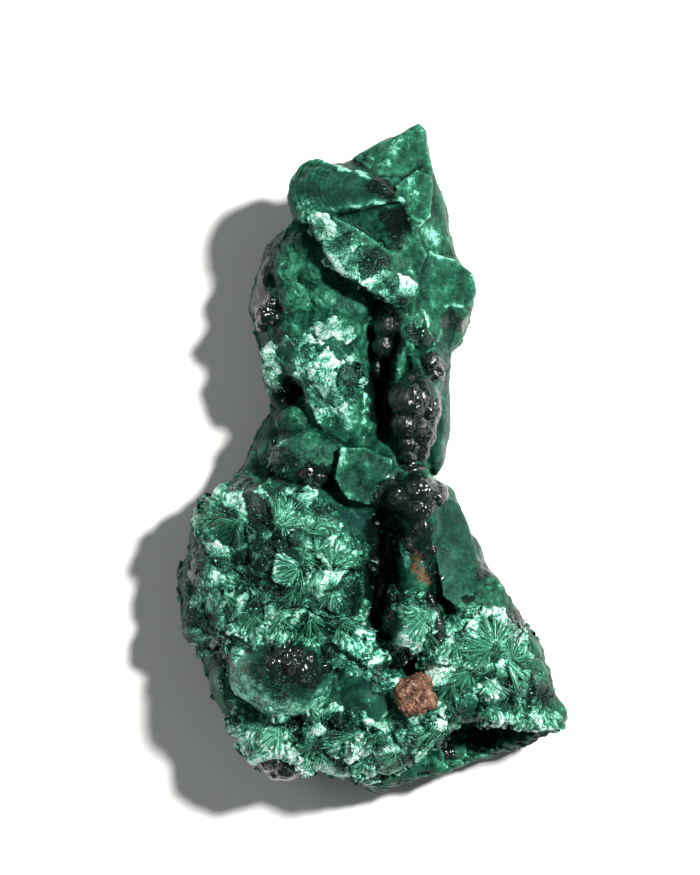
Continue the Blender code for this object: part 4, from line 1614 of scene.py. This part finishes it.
@dataclass
class Needles:
    """Fine needles: the starbursts, and splinters strewn over the silk."""

    ground: Ground
    count: int = 420

    BURSTS = (
        Fan(13.4, -20.1, 96, 150, 3.9, 10, 0.85), Fan(13.2, -20.4, 200, 90, 2.9, 8, 0.70),
        Fan(15.2, -21.7, 50, 110, 3.0, 10, 0.75), Fan(14.6, -21.6, 304, 26, 3.6, 8, 1.00),
        Fan(12.0, -23.4, 318, 26, 3.4, 8, 0.95), Fan(10.6, -22.8, 235, 110, 2.2, 8, 0.65),
        Fan(-10.0, -29.0, 238, 70, 4.2, 8, 0.90), Fan(5.0, -32.2, 50, 26, 4.4, 10, 0.95),
        Fan(-6.2, -11.6, 262, 34, 2.6, 8, 1.00), Fan(-10.6, -6.9, 42, 110, 3.2, 8, 0.90),
        Fan(-8.0, -11.4, 215, 130, 3.0, 8, 0.75), Fan(5.9, -16.6, 214, 150, 3.4, 4, 0.80),
        Fan(-7.0, -26.6, 288, 44, 2.2, 8, 0.85), Fan(-15.0, -6.4, 222, 120, 3.0, 4, 0.60),
    )

    def build(self) -> bpy.types.Object:
        """Makes the piece.

        Returns:
            The object.
        """
        dice = random.Random(23)
        form = bmesh.new()
        bmesh.ops.create_cone(form, cap_ends=True, segments=4, radius1=MM, radius2=0.3 * MM,
                              depth=MM, matrix=Matrix.Translation((0, 0, 0.5 * MM)))
        litter = Litter(form)
        for fan in self.BURSTS:
            self.burst(litter, fan, dice)
        for fan in FANS:
            if fan.y < 1.0 and fan.tone > 0.5:
                self.burst(litter, fan, dice, 5.0)
        for point, normal in strewn(dice, self.count, self.ground):
            turn = dice.uniform(0, 2 * math.pi)
            aim = Vector((math.cos(turn), math.sin(turn), dice.uniform(-0.1, 0.6)))
            aim = (aim + normal * 0.3).normalized()
            self.one(litter, point - aim * 0.2, aim, dice.uniform(0.5, 1.0),
                     dice.uniform(0.05, 0.10), dice.uniform(0.2, 0.9))
        return litter.finish("needles")

    def one(self, litter: Litter, start: Vector, aim: Vector, length: float, thick: float,
            tone: float) -> None:
        """Adds one needle.

        Args:
            litter: what it goes in.
            start: its thick end.
            aim: its direction.
            length: its length.
            thick: its radius there.
            tone: how light it is.
        """
        turn = aim.to_track_quat("Z", "Y").to_matrix().to_4x4()
        form = Matrix.Diagonal((thick, thick, length, 1.0))
        litter.add(Matrix.Translation(start * MM) @ turn @ form, tone)

    def burst(self, litter: Litter, fan: Fan, dice: random.Random, apart: float = 2.2) -> None:
        """Adds the needles of one spray.

        Args:
            litter: what they go in.
            fan: the spray.
            dice: the source of chance.
            apart: the mean angle between needles.
        """
        for _ in range(round(fan.opening / apart) + 8):
            turn = math.radians(fan.aim + dice.uniform(-0.5, 0.5) * fan.opening)
            near, far = fan.reach * dice.uniform(0.08, 0.45), fan.reach * dice.uniform(0.65, 1.05)
            ends = [
                self.ground.under(fan.x + math.cos(turn) * away, fan.y + math.sin(turn) * away)
                for away in (near, far)
            ]
            if None in ends or abs(ends[0][0].z - ends[1][0].z) > 1.6:
                continue
            start = ends[0][0] + UP * dice.uniform(0.0, 0.1)
            aim = ends[1][0] + UP * dice.uniform(0.05, 0.3) - start
            self.one(litter, start, aim.normalized(), aim.length, dice.uniform(0.05, 0.12),
                     min(1.0, max(0.1, fan.tone + dice.uniform(-0.55, 0.2))))


@dataclass
class Grains:
    """Tiny crystals strewn where the stone sparkles."""

    ground: Ground
    count: int = 500

    LONE = (
        (0.4, -6.6, 0.34, 1.1), (0.9, -7.6, 0.22, 0.8), (2.4, -8.7, 0.32, 0.55),
        (1.9, -8.0, 0.24, 0.6), (0.0, -5.6, 0.24, 0.7), (8.9, -33.6, 0.5, 0.4),
        (7.6, -33.0, 0.45, 0.35), (-1.1, 2.9, 0.2, 0.9),
    )

    def build(self) -> bpy.types.Object:
        """Makes the piece.

        Returns:
            The object.
        """
        dice = random.Random(37)
        form = bmesh.new()
        bmesh.ops.create_icosphere(form, subdivisions=1, radius=MM)
        litter = Litter(form)
        for point, _ in strewn(dice, self.count, self.ground):
            size = dice.uniform(0.06, 0.15)
            turn = Euler([dice.uniform(0, 6.28) for _ in range(3)]).to_matrix().to_4x4()
            shape = Matrix.Diagonal((size, size * dice.uniform(0.6, 1.5), size, 1.0))
            litter.add(Matrix.Translation(point * MM) @ turn @ shape, dice.uniform(0.1, 0.9))
        for x, y, size, tone in self.LONE:
            found = self.ground.under(x, y)
            if found is not None:
                shape = Matrix.Diagonal((size, size * 0.8, size * 1.2, 1.0))
                litter.add(Matrix.Translation(found[0] * MM) @ shape, tone)
        return litter.finish("crystal_grains")


@dataclass
class BlackKnobs:
    """The glossy black botryoids of the cleft and on the big dome."""

    ground: Ground
    voxel: float = 0.15

    KNOBS = (
        Dome(1.5, 15.2, 13.6, 1.5, 1.7, 2.2), Dome(1.2, 13.0, 13.2, 1.3, 1.5, 2.0),
        Dome(2.3, 17.0, 13.2, 1.2, 1.2, 1.8), Dome(0.4, 10.6, 11.6, 0.9, 1.6, 1.6),
        Dome(6.4, 11.3, 14.6, 1.1, 1.1, 1.5),
        Dome(7.0, 10.0, 13.6, 1.0, 1.1, 1.5), Dome(4.6, 8.7, 14.6, 1.8, 1.8, 2.4),
        Dome(4.1, 7.1, 15.0, 2.6, 2.5, 3.3), Dome(6.2, 6.4, 14.2, 1.3, 2.8, 2.6),
        Dome(3.6, 4.4, 14.8, 1.9, 1.8, 2.5), Dome(5.4, 3.6, 14.0, 1.6, 2.2, 2.6),
        Dome(3.9, 2.2, 14.0, 1.5, 1.4, 2.1), Dome(3.8, 0.9, 14.0, 1.2, 0.9, 1.7),
        Dome(5.3, 1.4, 13.4, 1.0, 1.2, 1.8),
        Dome(3.0, -3.8, 14.4, 2.0, 1.7, 2.4), Dome(4.9, -2.9, 14.8, 2.2, 1.8, 2.6),
        Dome(6.6, -3.4, 14.0, 1.7, 1.6, 2.2), Dome(5.1, -5.0, 14.6, 2.0, 1.8, 2.4),
        Dome(1.5, -3.4, 13.0, 1.2, 1.2, 1.8), Dome(4.4, -0.9, 13.0, 1.6, 1.2, 2.0),
        Dome(5.3, -7.3, 14.2, 2.0, 1.8, 2.2), Dome(4.3, -8.9, 14.0, 1.6, 1.6, 2.0),
        Dome(6.1, -9.3, 13.8, 1.4, 1.7, 2.0), Dome(5.0, -10.7, 14.0, 1.3, 1.3, 1.6),
        Dome(-11.2, -33.1, 11.2, 1.9, 1.5, 3.0), Dome(-9.7, -34.1, 10.8, 1.7, 1.3, 2.8),
        Dome(-10.9, -34.4, 10.2, 1.1, 1.0, 2.4), Dome(-12.4, -32.4, 10.6, 1.2, 1.2, 2.4),
        Dome(7.0, -18.2, 15.8, 0.95, 2.7, 1.6, 8), Dome(6.3, -15.4, 14.8, 0.7, 1.6, 1.4, 12),
    )
    SET_DOWN = (
        (-10.0, -20.6, 0.95), (-8.4, -21.0, 0.90), (-7.1, -21.3, 0.85), (-5.5, -22.5, 0.75),
        (-9.3, -22.0, 1.10), (-7.8, -22.4, 1.00), (-11.2, -21.8, 0.80),
        (-7.2, -1.0, 1.05), (-5.9, -1.5, 0.90), (-6.7, -2.2, 0.80), (-12.0, 16.6, 1.2),
        (-11.3, 17.8, 1.0), (-12.3, 15.4, 0.9), (-10.9, 16.2, 0.9), (8.4, -32.6, 0.9),
        (-9.6, 8.4, 0.6), (-8.9, 7.6, 0.7), (-9.8, 7.2, 0.6),
    )

    def build(self) -> bpy.types.Object:
        """Makes the piece.

        Returns:
            The object.
        """
        shape = bmesh.new()
        for knob in self.KNOBS:
            add_dome(shape, knob, 0.10)
        for x, y, size in self.SET_DOWN:
            found = self.ground.under(x, y)
            if found is not None:
                add_dome(shape, Dome(x, y, found[0].z - size * 0.45, size, size, size), 0.2)
        made = show("black_botryoids", shape)
        fused(made, self.voxel, 2)
        swollen(made, lambda place: (
            0.10 * (0.5 - noise.voronoi(place / 0.8)[0][0]) + 0.09 * noise.noise(place * 2.6)))
        return finished(made, BlackFinish().build())


@dataclass
class BrownGrain:
    """The rough brown grain that sits in a pocket of the foot."""

    x: float = 4.6
    y: float = -25.5
    z: float = 15.7
    radius: float = 2.15
    voxel: float = 0.13

    def build(self) -> bpy.types.Object:
        """Makes the piece.

        Returns:
            The object.
        """
        shape = bmesh.new()
        bmesh.ops.create_cube(shape, size=2.0)
        bmesh.ops.bevel(shape, geom=shape.edges[:], offset=0.5, segments=3, affect="EDGES",
                        profile=0.5, material=-1)
        place = (
            Matrix.Translation(Vector((self.x, self.y, self.z)) * MM)
            @ Euler((0.1, -0.12, 0.35)).to_matrix().to_4x4()
            @ Matrix.Diagonal((self.radius * MM, self.radius * 0.9 * MM, 2.2 * MM, 1.0))
        )
        bmesh.ops.transform(shape, matrix=place, verts=shape.verts)
        made = show("brown_grain", shape)
        fused(made, self.voxel, 2)
        swollen(made, lambda place: (
            0.40 * noise.noise(place * 0.7) + 0.30 * (0.5 - noise.voronoi(place / 0.55)[0][0])
            + 0.16 * noise.noise(place * 3.1)))
        return finished(made, RustFinish().build())


# ---------------------------------------------------------------- the studio


@dataclass
class Studio:
    """Floor, lights and camera."""

    distance: float = 450.0
    scale: float = 9.0
    middle: tuple[float, float] = (-2.61, 2.89)
    focus_height: float = 12.0
    frame_height: int = 875

    def lamp(self, name: str, place: tuple[float, float, float], size: float, power: float,
             colour: Colour = (1.0, 1.0, 1.0)) -> None:
        """Adds a round lamp that faces the stone.

        Args:
            name: its name.
            place: where it stands.
            size: its width.
            power: its watts.
            colour: its colour.
        """
        light = bpy.data.lights.new(name, "AREA")
        light.shape = "DISK"
        light.size = size * MM
        light.energy = power
        light.color = colour
        made = bpy.data.objects.new(name, light)
        made.location = Vector(place) * MM
        aim = Vector((0, 0, 10)) - Vector(place)
        made.rotation_euler = aim.to_track_quat("-Z", "Y").to_euler()
        bpy.context.scene.collection.objects.link(made)

    def build(self) -> None:
        """Makes the studio."""
        scene = bpy.context.scene
        scene.view_settings.view_transform = "Standard"
        shape = bmesh.new()
        bmesh.ops.create_grid(shape, x_segments=1, y_segments=1, size=1.5)
        floor = show("floor", shape, FloorFinish().build(), smooth=False)
        floor.location.z = -0.02 * MM

        world = bpy.data.worlds.new("studio")
        world.use_nodes = True
        back = world.node_tree.nodes["Background"]
        back.inputs["Color"].default_value = (0.93, 0.96, 1.0, 1.0)
        back.inputs["Strength"].default_value = 0.12
        scene.world = world
        self.lamp("key", (340, 200, 550), 80, 9.4, (1.0, 0.985, 0.96))
        self.lamp("fill", (-380, 120, 420), 420, 0.5)

        camera = bpy.data.cameras.new("camera")
        camera.sensor_fit = "AUTO"
        camera.sensor_width = 36.0
        camera.lens = 36.0 * self.distance * self.scale / self.frame_height
        camera.clip_start, camera.clip_end = 0.01, 10.0
        made = bpy.data.objects.new("camera", camera)
        made.location = (
            self.middle[0] * MM, self.middle[1] * MM, (self.distance + self.focus_height) * MM)
        scene.collection.objects.link(made)
        scene.camera = made


def main() -> None:
    """Builds the pieces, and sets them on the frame."""
    stone = StoneBody().build()
    crust = SilkCrust(stone).build()
    top = Ground(stone, *crust)
    pieces = [stone, *crust, Needles(top).build(), Grains(top).build(), BlackKnobs(top).build(),
              BrownGrain().build()]
    for piece in pieces:
        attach(piece, BODY)
    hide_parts(NODE)
    Studio().build()


if __name__ == "__main__":
    main()
